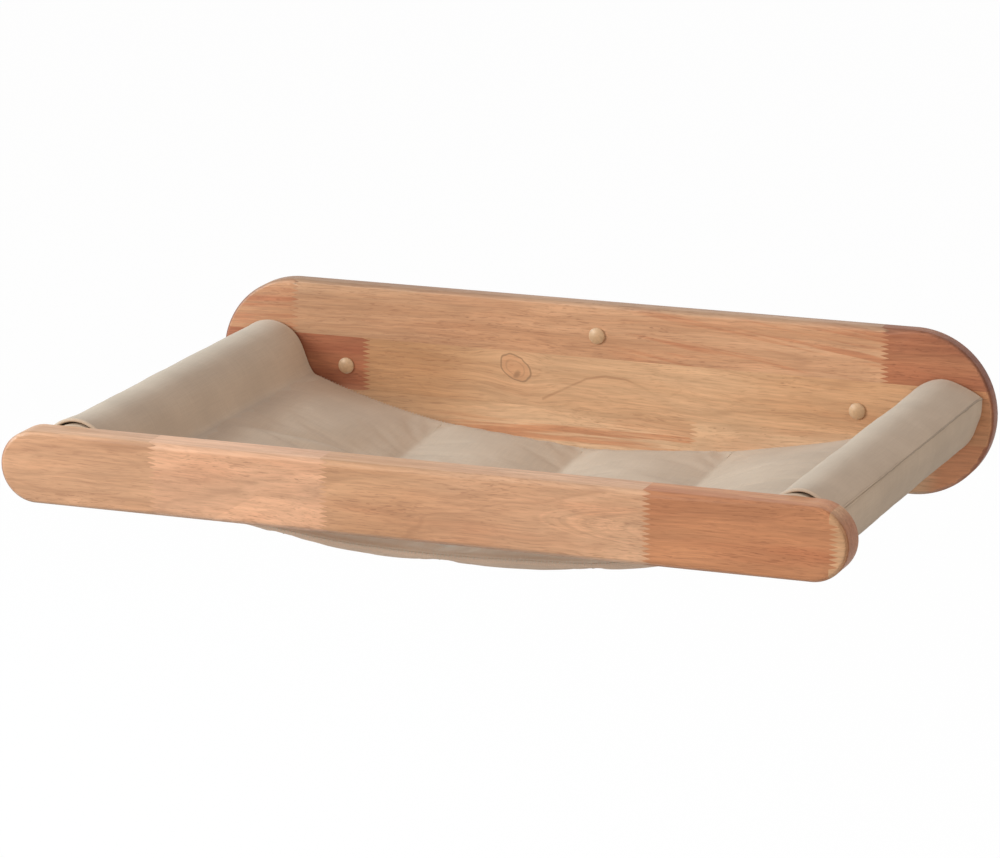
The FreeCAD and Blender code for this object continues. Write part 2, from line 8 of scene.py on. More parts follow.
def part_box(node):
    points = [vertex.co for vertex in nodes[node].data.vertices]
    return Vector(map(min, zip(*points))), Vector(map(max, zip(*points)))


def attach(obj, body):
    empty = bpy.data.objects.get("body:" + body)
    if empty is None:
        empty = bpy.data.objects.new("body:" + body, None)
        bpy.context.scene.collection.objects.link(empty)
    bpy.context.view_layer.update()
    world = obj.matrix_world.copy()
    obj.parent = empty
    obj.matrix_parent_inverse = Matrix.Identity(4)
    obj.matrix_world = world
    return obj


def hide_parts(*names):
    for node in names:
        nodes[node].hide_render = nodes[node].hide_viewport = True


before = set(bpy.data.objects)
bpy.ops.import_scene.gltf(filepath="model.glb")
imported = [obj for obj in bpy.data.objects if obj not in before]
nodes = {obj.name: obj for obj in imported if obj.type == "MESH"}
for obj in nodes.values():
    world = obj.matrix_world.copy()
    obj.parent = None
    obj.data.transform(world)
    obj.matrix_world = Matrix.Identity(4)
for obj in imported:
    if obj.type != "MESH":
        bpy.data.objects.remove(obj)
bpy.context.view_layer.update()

scene = bpy.context.scene

# Sizes of the frame in metres
ARM_X = 0.256
BOARD_FRONT = -0.015
RAIL_REAR = -0.345
BED_MIDDLE_Y = (BOARD_FRONT + RAIL_REAR) / 2
BED_HALF_SPAN = 0.222
BED_HALF_DEPTH = 0.1645
BED_BOW = 0.020
CHANNELS = 4


# Small tools
def linear(red, green, blue):
    """Colour of the screen, 0 to 255, as the linear colour of a shader."""
    def channel(value):
        value = value / 255
        return value / 12.92 if value <= 0.04045 else ((value + 0.055) / 1.055) ** 2.4
    return (channel(red), channel(green), channel(blue), 1.0)


def darker(colour, gain):
    """Colour of a shader at another brightness."""
    return tuple(gain * value for value in colour[:3]) + (1.0,)


def smooth_step(low, high, value):
    """Smooth rise from 0 at low to 1 at high."""
    share = np.clip((value - low) / (high - low), 0, 1)
    return share * share * (3 - 2 * share)


def mesh_object(name, points, faces, uvs=None):
    """Smooth mesh with an optional weave map in metres, one pair for each point."""
    mesh = bpy.data.meshes.new(name)
    mesh.from_pydata([tuple(p) for p in points], [], faces)
    mesh.update()
    mesh.polygons.foreach_set("use_smooth", [True] * len(mesh.polygons))
    if uvs is not None:
        layer = mesh.uv_layers.new(name="Weave")
        corner_points = np.zeros(len(mesh.loops), np.int32)
        mesh.loops.foreach_get("vertex_index", corner_points)
        layer.data.foreach_set("uv", np.asarray(uvs, np.float32)[corner_points].ravel())
    obj = bpy.data.objects.new(name, mesh)
    scene.collection.objects.link(obj)
    return obj


def grid_faces(first, rows, columns, closed=False, flipped=False):
    """Four-cornered faces between rows of points, from the first point's number. A closed row is a ring."""
    faces = []
    for row in range(rows - 1):
        for k in range(columns if closed else columns - 1):
            a = first + row * columns + k
            b = first + row * columns + (k + 1) % columns
            corners = (a, b, b + columns, a + columns)
            faces.append(corners[::-1] if flipped else corners)
    return faces


def bumps(x, table):
    """Sum of soft bumps, each given by its height, centre and width."""
    return sum(height * np.exp(-((x - centre) / width) ** 2) for height, centre, width in table)


def wander(points, size, seed):
    """Smooth random value for each point, from -1 to 1, with features of about this size."""
    shift = Vector((seed * 3.1, seed * 7.7, seed * 1.3))
    return np.array([noise.noise(Vector(p) / size + shift) for p in points])


# Node materials
class Paint:
    """A node material under construction."""

    def __init__(self, name):
        self.material = bpy.data.materials.new(name)
        self.material.use_nodes = True
        self.tree = self.material.node_tree
        self.tree.nodes.clear()
        output = self.tree.nodes.new("ShaderNodeOutputMaterial")
        self.shader = self.tree.nodes.new("ShaderNodeBsdfPrincipled")
        self.tree.links.new(self.shader.outputs["BSDF"], output.inputs["Surface"])
        coordinates = self.make("ShaderNodeTexCoord").outputs
        self.place = coordinates["Object"]
        self.normal = coordinates["Normal"]

    def put(self, target, value):
        """Link a socket to an input, or write a value into it."""
        if isinstance(value, bpy.types.NodeSocket):
            self.tree.links.new(value, target)
        else:
            target.default_value = value

    def set(self, **inputs):
        for name, value in inputs.items():
            self.put(self.shader.inputs[name.replace("_", " ")], value)

    def make(self, kind, inputs=(), **settings):
        node = self.tree.nodes.new(kind)
        for name, value in settings.items():
            setattr(node, name, value)
        for place, value in enumerate(inputs):
            self.put(node.inputs[place], value)
        return node

    def math(self, operation, *values):
        return self.make("ShaderNodeMath", values, operation=operation).outputs[0]

    def product(self, first, *others):
        for other in others:
            first = self.math("MULTIPLY", first, other)
        return first

    def join(self, x, y, z):
        return self.make("ShaderNodeCombineXYZ", (x, y, z)).outputs[0]

    def scaled(self, vector, factors):
        return self.make("ShaderNodeVectorMath", (vector, factors), operation="MULTIPLY").outputs[0]

    def added(self, vector, other):
        return self.make("ShaderNodeVectorMath", (vector, other), operation="ADD").outputs[0]

    def noise(self, vector, factors=None, detail=2.0, roughness=0.5, output="Fac"):
        """Smooth random value of a place, with the place scaled by factors first."""
        node = self.make("ShaderNodeTexNoise")
        self.put(node.inputs["Vector"], self.scaled(vector, factors) if factors else vector)
        self.put(node.inputs["Scale"], 1.0)
        self.put(node.inputs["Detail"], detail)
        self.put(node.inputs["Roughness"], roughness)
        return node.outputs[output]

    def drift(self, vector, factors, reach):
        """Smooth random shift, by up to half the reach either way."""
        shift = self.added(self.noise(vector, factors, output="Color"), (-0.5, -0.5, -0.5))
        return self.scaled(shift, reach)

    def length(self, vector):
        return self.make("ShaderNodeVectorMath", (vector,), operation="LENGTH").outputs["Value"]

    def mix(self, factor, first, second, blend="MIX"):
        node = self.make("ShaderNodeMix", data_type="RGBA", blend_type=blend)
        self.put(node.inputs[0], factor)
        self.put(node.inputs[6], first)
        self.put(node.inputs[7], second)
        return node.outputs[2]

    def dimmed(self, colour, shade):
        """Colour times one number."""
        return self.mix(1.0, colour, self.join(shade, shade, shade), "MULTIPLY")

    def tinted(self, factor, colour, gain):
        """Colour times another colour, in full where the factor is 1."""
        return self.mix(factor, colour, self.mix(1.0, colour, gain + (1.0,), "MULTIPLY"))

    def range(self, value, low, high, bottom=0.0, top=1.0):
        """Smooth step from bottom to top as the value goes from low to high."""
        limits = (value, low, high, bottom, top)
        return self.make("ShaderNodeMapRange", limits, interpolation_type="SMOOTHSTEP").outputs[0]

    def between(self, value, low, high, soft):
        """1 between two limits and 0 outside, with soft ends."""
        above = self.range(value, low - soft, low + soft)
        below = self.range(value, high + soft, high - soft)
        return self.product(above, below)

    def bump(self, height, strength, distance):
        node = self.make("ShaderNodeBump")
        self.put(node.inputs["Strength"], strength)
        self.put(node.inputs["Distance"], distance)
        self.put(node.inputs["Height"], height)
        self.put(self.shader.inputs["Normal"], node.outputs[0])

    def from_line(self, place, start, stop):
        """Distance from a straight line on the front, given by two places across and up."""
        length = math.dist(start, stop)
        course = ((stop[0] - start[0]) / length, 0.0, (stop[1] - start[1]) / length)
        away = self.scaled(self.added(place, (-start[0], 0.0, -start[1])), (1.0, 0.0, 1.0))
        reach = self.make("ShaderNodeVectorMath", (away, course), operation="DOT_PRODUCT").outputs["Value"]
        reach = self.make("ShaderNodeClamp", (reach, 0.0, length)).outputs[0]
        nearest = self.make("ShaderNodeVectorMath", (course,), operation="SCALE")
        self.put(nearest.inputs["Scale"], reach)
        ends = (away, nearest.outputs[0])
        return self.make("ShaderNodeVectorMath", ends, operation="DISTANCE").outputs["Value"]

    def split(self, vector):
        return self.make("ShaderNodeSeparateXYZ", (vector,)).outputs


# Marks of the wood: how many fit into a metre along the grain, into the depth and up
SLOW_DRIFT = (4.0, 13.0, 13.0)
QUICK_DRIFT = (26.0, 70.0, 70.0)
STREAKS = (20.0, 640.0, 640.0)
CLOUDS = (7.0, 60.0, 60.0)
PALE_SPOTS = (12.0, 110.0, 110.0)
DASHES = (75.0, 1500.0, 1500.0)
SPECKS = (130.0, 1100.0, 1100.0)
CLUSTERS = (9.0, 90.0, 90.0)
RED_THREADS = (6.0, 30.0, 200.0)

# Softness of a red streak, growth rings, knot and how strongly the marks show
STREAK_SOFT = 0.004
RINGS_ALONG = 2.6
RINGS_ACROSS = 85.0
ARCS = 95.0
ARC_BEND = 330.0
KNOT_WAVER = (90.0, 90.0, 90.0)
KNOT_OVAL = (0.70, 0, 1.12)
KNOT_TURN = math.radians(-32)
KNOT_LIFT = -0.45
PORE_WEIGHT = 0.52
RING_EDGE_WEIGHT = 0.18
LINE_WEIGHT = 0.42
END_GRAIN = (0.56, 0.37, 0.27)


def wood(name, light, dark, red, seed, tilt, lean, reddening, figure,
         knot=None, streak=None, patches=(), arch=None, fades=(), lines=(), painted_edge_shade=1.0):
    """Solid wood with its grain along X: growth bands, fine streaks, pore dashes and darker end grain.

    The grain runs at the slope tilt across the front and at the slope lean into the depth.
    A knot is given by its place on the front.
    A red streak is given by where it begins and ends along X, its slope, its strength and its lowest and
    highest place.
    A patch of another brightness is given by its left and right end, the slope of the left end, its lowest
    and highest place and its gain.
    An arch of growth rings is given by its tip and end along X and its height.
    A fade is given by where it begins and ends along X and the colour that it multiplies in.
    A dark line of the grain is given by places on the front that it runs through.
    Faces that look neither forward nor back are darkened to the given brightness: painted shade on the eased
    edges and narrow faces.
    """
    paint = Paint(name)
    place = paint.place
    if knot:
        away = paint.added(place, (-knot[0], 0, -knot[1]))
        turned = paint.make("ShaderNodeVectorRotate", rotation_type="Y_AXIS")
        paint.put(turned.inputs["Vector"], away)
        turned.inputs["Angle"].default_value = KNOT_TURN
        waver = paint.drift(place, KNOT_WAVER, (0.005, 0.0, 0.005))
        oval = paint.scaled(paint.added(turned.outputs[0], waver), KNOT_OVAL)
        distance = paint.length(oval)
        near = paint.range(distance, 0.004, 0.034, 1.0, 0.0)
        lift = paint.product(near, paint.product(paint.split(away)[2], KNOT_LIFT))
        place = paint.added(place, paint.join(0.0, 0.0, lift))
    mapping = paint.make("ShaderNodeMapping")
    paint.put(mapping.inputs["Vector"], place)
    mapping.inputs["Location"].default_value = (seed * 0.731, seed * 0.117, seed * 0.053)
    mapping.inputs["Rotation"].default_value = (0.0, tilt, lean)
    stock = mapping.outputs[0]
    slow = paint.drift(stock, SLOW_DRIFT, (0.0, 0.014, 0.014))
    quick = paint.drift(stock, QUICK_DRIFT, (0.0, 0.0030, 0.0030))
    drift = paint.added(slow, quick)
    grain = paint.added(stock, drift)

    # Growth rings round the heart of the stem, which lies behind and below the block
    x, y, z = paint.split(grain)
    depth = paint.math("ADD", y, 0.075 + 0.004 * seed - seed * 0.117)
    height = paint.math("ADD", z, 0.045 - seed * 0.053)
    squares = paint.math("ADD", paint.product(depth, depth), paint.product(height, height))
    radius = paint.math("SQRT", squares)
    ring_place = paint.join(paint.product(x, RINGS_ALONG), paint.product(radius, RINGS_ACROSS), seed)
    bands = paint.noise(ring_place, detail=4.0, roughness=0.58)
    growth = paint.noise(ring_place, (1.6, 4.5, 1.0))
    rings = paint.noise(ring_place, (0.8, 0.75, 1.0), 1.0)
    from_ring = paint.math("ABSOLUTE", paint.math("SUBTRACT", rings, 0.52))
    ring_edge = paint.range(from_ring, 0.0, 0.014, 1.0, 0.0)

    # Streaks, clouds and pores along the grain
    streaks = paint.noise(grain, STREAKS, 2.0, 0.55)
    cloud = paint.noise(grain, CLOUDS, 3.0)
    pale = paint.noise(grain, PALE_SPOTS)
    dashes = paint.noise(grain, DASHES, 1.0)
    specks = paint.noise(grain, SPECKS, 1.0)
    clusters = paint.range(paint.noise(stock, CLUSTERS), 0.36, 0.66)
    fine = paint.product(paint.range(dashes, 0.54, 0.70), paint.math("MULTIPLY_ADD", clusters, 0.36, 0.40))
    bold = paint.product(paint.range(specks, 0.64, 0.74), clusters)
    pores = paint.math("MAXIMUM", fine, bold)
    tone = paint.range(bands, 0.5 - 0.24 / figure, 0.5 + 0.24 / figure)
    colour = paint.mix(tone, dark, light)
    colour = paint.mix(paint.product(paint.range(cloud, 0.50, 0.74), reddening), colour, red)
    ahead, _, tall = paint.split(paint.place)
    if streak:
        from_x, to_x, slope, strength, low_z, high_z = streak
        turn = paint.make("ShaderNodeMapping")
        paint.put(turn.inputs["Vector"], paint.place)
        turn.inputs["Rotation"].default_value = (0.0, slope, 0.0)
        threads = paint.noise(turn.outputs[0], RED_THREADS, 3.0, 0.6)
        part = paint.product(paint.range(ahead, from_x, to_x),
                             paint.between(tall, low_z + STREAK_SOFT, high_z - STREAK_SOFT, STREAK_SOFT),
                             paint.range(threads, 0.47, 0.62, 0.0, strength))
        colour = paint.mix(part, colour, red)
    shade = paint.product(paint.range(streaks, 0.25, 0.75, 0.885, 1.08),
                          paint.range(growth, 0.3, 0.7, 0.96, 1.035),
                          paint.range(pale, 0.3, 0.7, 0.93, 1.07))
    wavy = paint.added(paint.place, paint.scaled(drift, (0.0, 0.0, 0.8)))
    bent_x, _, bent_z = paint.split(wavy)
    for from_x, to_x, slope, low_z, high_z, gain in patches:
        rise = paint.product(paint.math("SUBTRACT", bent_z, low_z), slope)
        inside = paint.range(paint.math("SUBTRACT", bent_x, rise), from_x - 0.002, from_x + 0.002)
        inside = paint.product(inside, paint.range(bent_x, to_x, to_x - 0.006))
        inside = paint.product(inside, paint.between(bent_z, low_z, high_z, 0.0012))
        shade = paint.product(shade, paint.range(inside, 0.0, 1.0, 1.0, gain))
    if arch:
        tip_x, end_x, middle_z = arch
        off = paint.math("SUBTRACT", bent_z, middle_z)
        bend = paint.product(off, off, ARC_BEND)
        inward = paint.math("SUBTRACT", paint.math("SUBTRACT", bent_x, tip_x), bend)
        arcs = paint.noise(paint.join(paint.product(inward, ARCS), seed, 0.0), detail=3.0)
        arcs = paint.range(arcs, 0.35, 0.65, -0.10, 0.14)
        part = paint.product(paint.range(inward, -0.004, 0.004),
                             paint.range(ahead, end_x + 0.01, end_x - 0.01))
        shade = paint.product(shade, paint.math("MULTIPLY_ADD", part, arcs, 1.0))
    colour = paint.dimmed(colour, shade)
    for from_x, to_x, gain in fades:
        colour = paint.tinted(paint.range(ahead, from_x, to_x), colour, gain)
    ring_edge = paint.product(ring_edge, RING_EDGE_WEIGHT)
    marks = paint.math("MAXIMUM", paint.product(pores, PORE_WEIGHT), ring_edge)
    unsteady = paint.added(paint.place, quick)
    for path in lines:
        for start, stop in zip(path, path[1:]):
            line = paint.range(paint.from_line(unsteady, start, stop), 0.0014, 0.0002, 0.0, LINE_WEIGHT)
            line = paint.product(line, paint.range(cloud, 0.35, 0.62, 0.25, 1.0))
            marks = paint.math("MAXIMUM", marks, line)
    colour = paint.mix(marks, colour, darker(red, 0.46))
    if knot:
        ring = paint.product(paint.range(distance, 0.0098, 0.0090), paint.range(distance, 0.0080, 0.0088))
        inner = paint.product(paint.range(distance, 0.0062, 0.0056), paint.range(distance, 0.0046, 0.0054))
        heart = paint.scaled(paint.added(oval, (-0.0022, 0, 0.0036)), (1.0, 0, 0.45))
        core = paint.range(paint.length(heart), 0.0022, 0.0006)
        colour = paint.mix(paint.range(distance, 0.0100, 0.0070, 0.0, 0.30), colour, red)
        shade = paint.math("MAXIMUM", paint.product(ring, 0.62), paint.product(inner, 0.22))
        shade = paint.math("MAXIMUM", shade, paint.product(core, 0.55))
        colour = paint.mix(shade, colour, darker(dark, 0.36))

    # Painted shade on the faces that look neither forward nor back, and darker end grain, told apart by where
    # the surface looks
    looks_x, looks_y, _ = paint.split(paint.normal)
    facing = paint.math("ABSOLUTE", looks_y)
    colour = paint.dimmed(colour, paint.range(facing, 0.50, 0.97, painted_edge_shade, 1.0))
    colour = paint.tinted(paint.range(paint.math("ABSOLUTE", looks_x), 0.35, 0.95), colour, END_GRAIN)
    paint.set(Base_Color=colour, Specular_IOR_Level=0.40)
    paint.set(Roughness=paint.range(streaks, 0.2, 0.8, 0.58, 0.46))
    relief = paint.math("SUBTRACT", paint.product(streaks, 0.35), pores)
    paint.bump(relief, 0.20, 0.0003)
    return paint.material


# Marks of the canvas and the thread: how many fit into a metre, of the weave or of space
YARN_PITCH = 0.0013
SLUBS_ALONG = (40.0, 1100.0, 1.0)
SLUBS_ACROSS = (1100.0, 40.0, 1.0)
FIBRES = (320.0, 2400.0, 1.0)
CANVAS_CLOUDS = (22.0, 22.0, 22.0)
FIBRE_WEIGHT = 0.30
THREAD_TWIST = (2600.0, 900.0, 2600.0)
# Painted warm shade above the bed's front hem, where the rail shades it
HEM_PAINTED_SHADE = (1.05, 0.965, 0.90)
# Painted light on the bed's underside, as if lit from below
UNDERSIDE_PAINTED_LIGHT = (1.26, 1.18, 1.16)


def canvas(name, tone, seed, seam_line=False, hem_shade_and_underside_light=False):
    """Plain-woven cotton: two sets of yarns with slubs, soft colour clouds and short fibres.

    A sleeve has a dark seam line; the bed has painted warm shade above its front hem, where the rail shades
    it, and painted light on its paler underside.
    """
    paint = Paint(name)
    weave = paint.make("ShaderNodeUVMap", uv_map="Weave").outputs[0]
    u, v, _ = paint.split(weave)
    waves = [paint.math("SINE", paint.product(way, 2 * math.pi / YARN_PITCH)) for way in (u, v)]
    yarns = paint.product(*waves)
    shifted = paint.added(weave, (seed, seed, seed))
    along = paint.noise(shifted, SLUBS_ALONG)
    across = paint.noise(shifted, SLUBS_ACROSS)
    slubs = paint.product(paint.math("ADD", along, across), 0.5)
    cloud = paint.noise(paint.place, CANVAS_CLOUDS, 3.0)
    fibres = paint.range(paint.noise(shifted, FIBRES, 1.0), 0.68, 0.80)
    shade = paint.product(paint.range(slubs, 0.3, 0.7, 0.955, 1.04),
                          paint.range(cloud, 0.3, 0.7, 0.96, 1.04),
                          paint.range(yarns, -1.0, 1.0, 0.95, 1.04))
    colour = paint.dimmed(tone, shade)
    if seam_line:
        colour = paint.dimmed(colour, paint.range(paint.math("ABSOLUTE", u), 0.0002, 0.0008, 0.70, 1.0))
    if hem_shade_and_underside_light:
        sideways, along_depth, _ = paint.split(paint.place)
        share = paint.math("DIVIDE", sideways, BED_HALF_SPAN)
        hang = paint.math("SUBTRACT", 1.0, paint.product(share, share))
        rim = paint.math("ADD", paint.product(hang, BED_BOW), BED_MIDDLE_Y - BED_HALF_DEPTH)
        upward = paint.split(paint.normal)[2]
        # Painted warm shade on the upward faces just behind the bed's front rim, where the rail shades it
        painted_hem_shade = paint.range(paint.math("SUBTRACT", along_depth, rim), 0.021, 0.015)
        painted_hem_shade = paint.product(painted_hem_shade, paint.range(upward, -0.15, 0.10))
        colour = paint.tinted(painted_hem_shade, colour, HEM_PAINTED_SHADE)
        # Painted light: the downward faces are made paler, as if lit from below
        colour = paint.tinted(paint.range(upward, 0.0, -0.3), colour, UNDERSIDE_PAINTED_LIGHT)
    colour = paint.mix(paint.product(fibres, FIBRE_WEIGHT), colour, darker(tone, 0.62))
    paint.set(Base_Color=colour, Roughness=0.92, Specular_IOR_Level=0.06)
    paint.set(Sheen_Weight=0.03, Sheen_Roughness=0.5)
    relief = paint.math("ADD", paint.product(yarns, 0.6), slubs)
    paint.bump(relief, 0.35, 0.0003)
    return paint.material


def thread(name, tone):
    """Twisted sewing thread."""
    paint = Paint(name)
    twist = paint.noise(paint.place, THREAD_TWIST)
    paint.set(Base_Color=paint.mix(paint.range(twist, 0.3, 0.7), darker(tone, 0.72), tone), Roughness=0.8)
    paint.bump(twist, 0.4, 0.0002)
    return paint.material


# Marks of plastic and metal: how many fit into a metre
MOTTLE = (420.0, 420.0, 420.0)
MOULD_TEXTURE = (5200.0, 5200.0, 5200.0)
PLATING_CLOUDS = (260.0, 260.0, 260.0)
TURNING_MARKS = (900.0, 9000.0, 900.0)


def plastic(name, tone):
    """Moulded plastic with a faint mottle and a fine texture."""
    paint = Paint(name)
    mottle = paint.noise(paint.place, MOTTLE, 3.0)
    texture = paint.noise(paint.place, MOULD_TEXTURE)
    paint.set(Base_Color=paint.mix(paint.range(mottle, 0.3, 0.7), darker(tone, 0.86), tone),
              Roughness=paint.range(texture, 0.3, 0.7, 0.36, 0.48))
    paint.bump(texture, 0.12, 0.00008)
    return paint.material


def metal(name, tone, rough):
    """Plated metal with turning marks and cloudy plating."""
    paint = Paint(name)
    cloud = paint.noise(paint.place, PLATING_CLOUDS, 3.0)
    marks = paint.noise(paint.place, TURNING_MARKS)
    paint.set(Base_Color=paint.mix(paint.range(cloud, 0.3, 0.7), darker(tone, 0.70), tone), Metallic=1.0,
              Roughness=paint.range(marks, 0.2, 0.8, rough - 0.08, rough + 0.10))
    paint.bump(marks, 0.15, 0.0001)
    return paint.material


# Tones of the wood, each as its light, dark and red colour
TAN = (linear(219, 178, 144), linear(196, 150, 116), linear(192, 132, 98))
PINK = (linear(221, 178, 146), linear(198, 150, 118), linear(212, 157, 124))
SAND = (linear(226, 191, 155), linear(202, 161, 125), linear(200, 138, 99))
ORANGE = (linear(198, 154, 120), linear(180, 129, 96), linear(184, 116, 84))
BROWN = (linear(207, 150, 109), linear(180, 119, 82), linear(176, 108, 73))
RED = (linear(194, 136, 101), linear(158, 97, 71), linear(146, 83, 60))
DEEP = (linear(188, 127, 94), linear(153, 90, 66), linear(140, 78, 56))
LIGHT = (linear(224, 183, 144), linear(198, 155, 117), linear(202, 148, 107))

# Wood of each block: tones, seed, slopes of the grain across the front and into the depth, reddening, figure
BLOCKS = {
    "board_upper_left_block": (ORANGE, 1.0, 0.04, 0.03, 0.7, 1.0),
    "board_upper_middle_block": (TAN, 2.0, 0.02, 0.02, 0.25, 0.9),
    "board_upper_right_block": (RED, 3.0, 0.02, 0.03, 0.4, 1.0),
    "board_middle_left_block": (DEEP, 4.0, 0.05, 0.03, 0.6, 1.1),
    "board_middle_right_block": (SAND, 5.0, -0.01, 0.03, 0.25, 0.8),
    "board_lower_left_block": (SAND, 6.0, 0.0, 0.02, 0.4, 0.9),
    "board_lower_right_block": (SAND, 7.0, 0.02, 0.02, 0.3, 0.8),
    "rail_block_1": (TAN, 8.0, 0.02, 0.03, 0.15, 0.9),
    "rail_block_2": (PINK, 9.0, -0.03, 0.06, 0.4, 0.9),
    "rail_block_3": (TAN, 10.0, 0.02, 0.05, 0.35, 0.9),
    "rail_block_4": (BROWN, 11.0, 0.02, 0.03, 0.5, 0.7),
    "rail_block_5": (LIGHT, 12.0, 0.0, 0.0, 0.1, 0.8),
    "left_arm": (LIGHT, 13.0, 0.0, 0.0, 0.2, 0.8),
    "right_arm": (LIGHT, 14.0, 0.0, 0.0, 0.2, 0.8),
    "rail_dowels": (LIGHT, 15.0, 0.0, 0.0, 0.1, 0.8),
}

# Marks that single blocks carry
FEATURES = {
    "board_upper_left_block": {"streak": (-0.40, -0.30, 0.06, 0.6, 0.0, 0.06)},
    "board_upper_middle_block": {
        "streak": (-0.004, 0.06, -0.13, 0.8, 0.014, 0.062),
        "patches": [(-0.09, 0.0, 1.7, 0.016, 0.034, 1.07), (-0.10, 0.01, 1.0, 0.040, 0.046, 1.07)],
        "fades": [(0.0, -0.22, (0.86, 0.87, 0.87))],
    },
    "board_middle_left_block": {"lines": [[(-0.2300, 0.0026), (-0.2032, -0.0020), (-0.1773, -0.0073)]]},
    "board_middle_right_block": {
        "knot": (-0.0625, 0.0073),
        "fades": [
            (-0.05, -0.14, (0.76, 0.67, 0.58)),
            (0.07, 0.16, (0.94, 0.88, 0.83)),
            (0.25, 0.275, (0.95, 0.78, 0.70)),
        ],
        "lines": [
            [(-0.0415, -0.0137), (-0.0235, -0.0047), (-0.0085, 0.0037), (0.0070, 0.0070), (0.0225, 0.0062),
             (0.0355, 0.0012), (0.0460, -0.0049), (0.0550, -0.0050), (0.0640, 0.0008)],
            [(-0.1748, -0.0113), (-0.1508, -0.0042)],
            [(-0.1390, -0.0108), (-0.1247, -0.0212)],
        ],
    },
    "board_lower_left_block": {
        # The red streak, just above the bed's rear hem, is partly the wood's own red and partly painted
        # shadow of the bed on the board
        "streak": (-0.15, -0.08, 0.0, 0.8, -0.050, -0.026),
        "fades": [(-0.05, -0.14, (0.80, 0.72, 0.64))],
    },
    "board_lower_right_block": {"fades": [(0.24, 0.26, (0.93, 0.66, 0.56))]},
    "rail_block_2": {
        "patches": [(-0.147, 1.0, 1.7, -0.027, -0.006, 1.15), (-0.30, 1.0, 0.0, 0.009, 0.028, 1.08)],
    },
    "rail_block_3": {
        "arch": (0.088, 0.158, -0.001),
        "fades": [(0.02, 0.10, (1.08, 1.10, 1.12)), (0.04, -0.02, (0.92, 0.89, 0.84))],
    },
}
# Painted shade: board faces that look neither forward nor back are darkened to this brightness
BOARD_PAINTED_EDGE_SHADE = 0.72
WELD_DISTANCE = 0.00001
SHARP_ANGLE = math.radians(52)


# Solids that keep the form of the CAD
def eased_edges():
    """Node group that joins the faces of a solid and keeps only its sharp edges sharp."""
    group = bpy.data.node_groups.new("eased_edges", "GeometryNodeTree")
    group.interface.new_socket("Geometry", in_out="INPUT", socket_type="NodeSocketGeometry")
    group.interface.new_socket("Geometry", in_out="OUTPUT", socket_type="NodeSocketGeometry")
    source = group.nodes.new("NodeGroupInput")
    target = group.nodes.new("NodeGroupOutput")
    weld = group.nodes.new("GeometryNodeMergeByDistance")
    weld.inputs["Distance"].default_value = WELD_DISTANCE
    soft = group.nodes.new("GeometryNodeSetShadeSmooth")
    hard = group.nodes.new("GeometryNodeSetShadeSmooth")
    hard.domain = "EDGE"
    hard.inputs["Shade Smooth"].default_value = False
    angle = group.nodes.new("GeometryNodeInputMeshEdgeAngle")
    compare = group.nodes.new("FunctionNodeCompare")
    compare.operation = "GREATER_THAN"
    compare.inputs[1].default_value = SHARP_ANGLE
    links = group.links
    links.new(source.outputs[0], weld.inputs[0])
    links.new(weld.outputs[0], soft.inputs[0])
    links.new(soft.outputs[0], hard.inputs[0])
    links.new(angle.outputs[0], compare.inputs[0])
    links.new(compare.outputs[0], hard.inputs["Selection"])
    links.new(hard.outputs[0], target.inputs[0])
    return group


edge_group = eased_edges()


def ease(obj):
    """Shade the eased edges of a solid as round ones."""
    join = obj.modifiers.new("join_faces", "NODES")
    join.node_group = edge_group
    weigh = obj.modifiers.new("weigh_normals", "WEIGHTED_NORMAL")
    weigh.mode = "FACE_AREA"
    weigh.weight = 100
    weigh.keep_sharp = True


def dress(obj, material):
    """Give a solid one material in place of its own."""
    obj.data.materials.clear()
    obj.data.materials.append(material)


for node, (tones, *grain) in BLOCKS.items():
    painted_edge_shade = BOARD_PAINTED_EDGE_SHADE if node.startswith("board") else 1.0
    stock = wood(node + "_wood", *tones, *grain, painted_edge_shade=painted_edge_shade, **FEATURES.get(node, {}))
    dress(nodes[node], stock)
    ease(nodes[node])
zinc = metal("zinc_plate", linear(206, 208, 212), 0.36)
brass = metal("brass", linear(206, 170, 98), 0.32)
for node, material in (("arm_bolts", zinc), ("arm_washers", zinc), ("arm_inserts", brass)):
    dress(nodes[node], material)
    ease(nodes[node])

# Screw caps, turned from a half section of radius and distance behind the front of the board
cap_plastic = plastic("cap_plastic", linear(206, 174, 139))
CAP_INSIDE = [(0.0, -0.0024), (0.0030, -0.0022), (0.0033, -0.0018)]
CAP_STEM_AND_RIM = [
    (0.0033, 0.0045), (0.0047, 0.0045), (0.0049, 0.0042), (0.0049, 0.0002), (0.0056, 0.0), (0.0060, -0.0002),
    (0.00605, -0.0006), (0.00605, -0.0010), (0.0059, -0.0014),
]
CAP_CROWN = -0.0034
CAP_BALL = 0.0102
CAP_TURNS = 64


def make_cap(name, node, body):
    """Hollow cap with a stem in the board and a domed head in front of it."""
    low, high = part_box(node)
    centre = Vector(((low.x + high.x) / 2, BOARD_FRONT, (low.z + high.z) / 2))
    dome = []
    for a in np.linspace(0.585, 0.03, 9):
        dome.append((CAP_BALL * math.sin(a), CAP_CROWN + CAP_BALL * (1 - math.cos(a))))
    section = CAP_INSIDE + CAP_STEM_AND_RIM + dome
    points = []
    for radius, y in section:
        for k in range(CAP_TURNS):
            a = 2 * math.pi * k / CAP_TURNS
            points.append(centre + Vector((radius * math.cos(a), y, radius * math.sin(a))))
    tip = len(points)
    points.append(centre + Vector((0, CAP_CROWN, 0)))
    faces = grid_faces(0, len(section), CAP_TURNS, closed=True)
    last = tip - CAP_TURNS
    faces += [(last + k, last + (k + 1) % CAP_TURNS, tip) for k in range(CAP_TURNS)]
    cap = mesh_object(name, points, faces)
    cap.data.materials.append(cap_plastic)
    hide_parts(node)
    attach(cap, body)


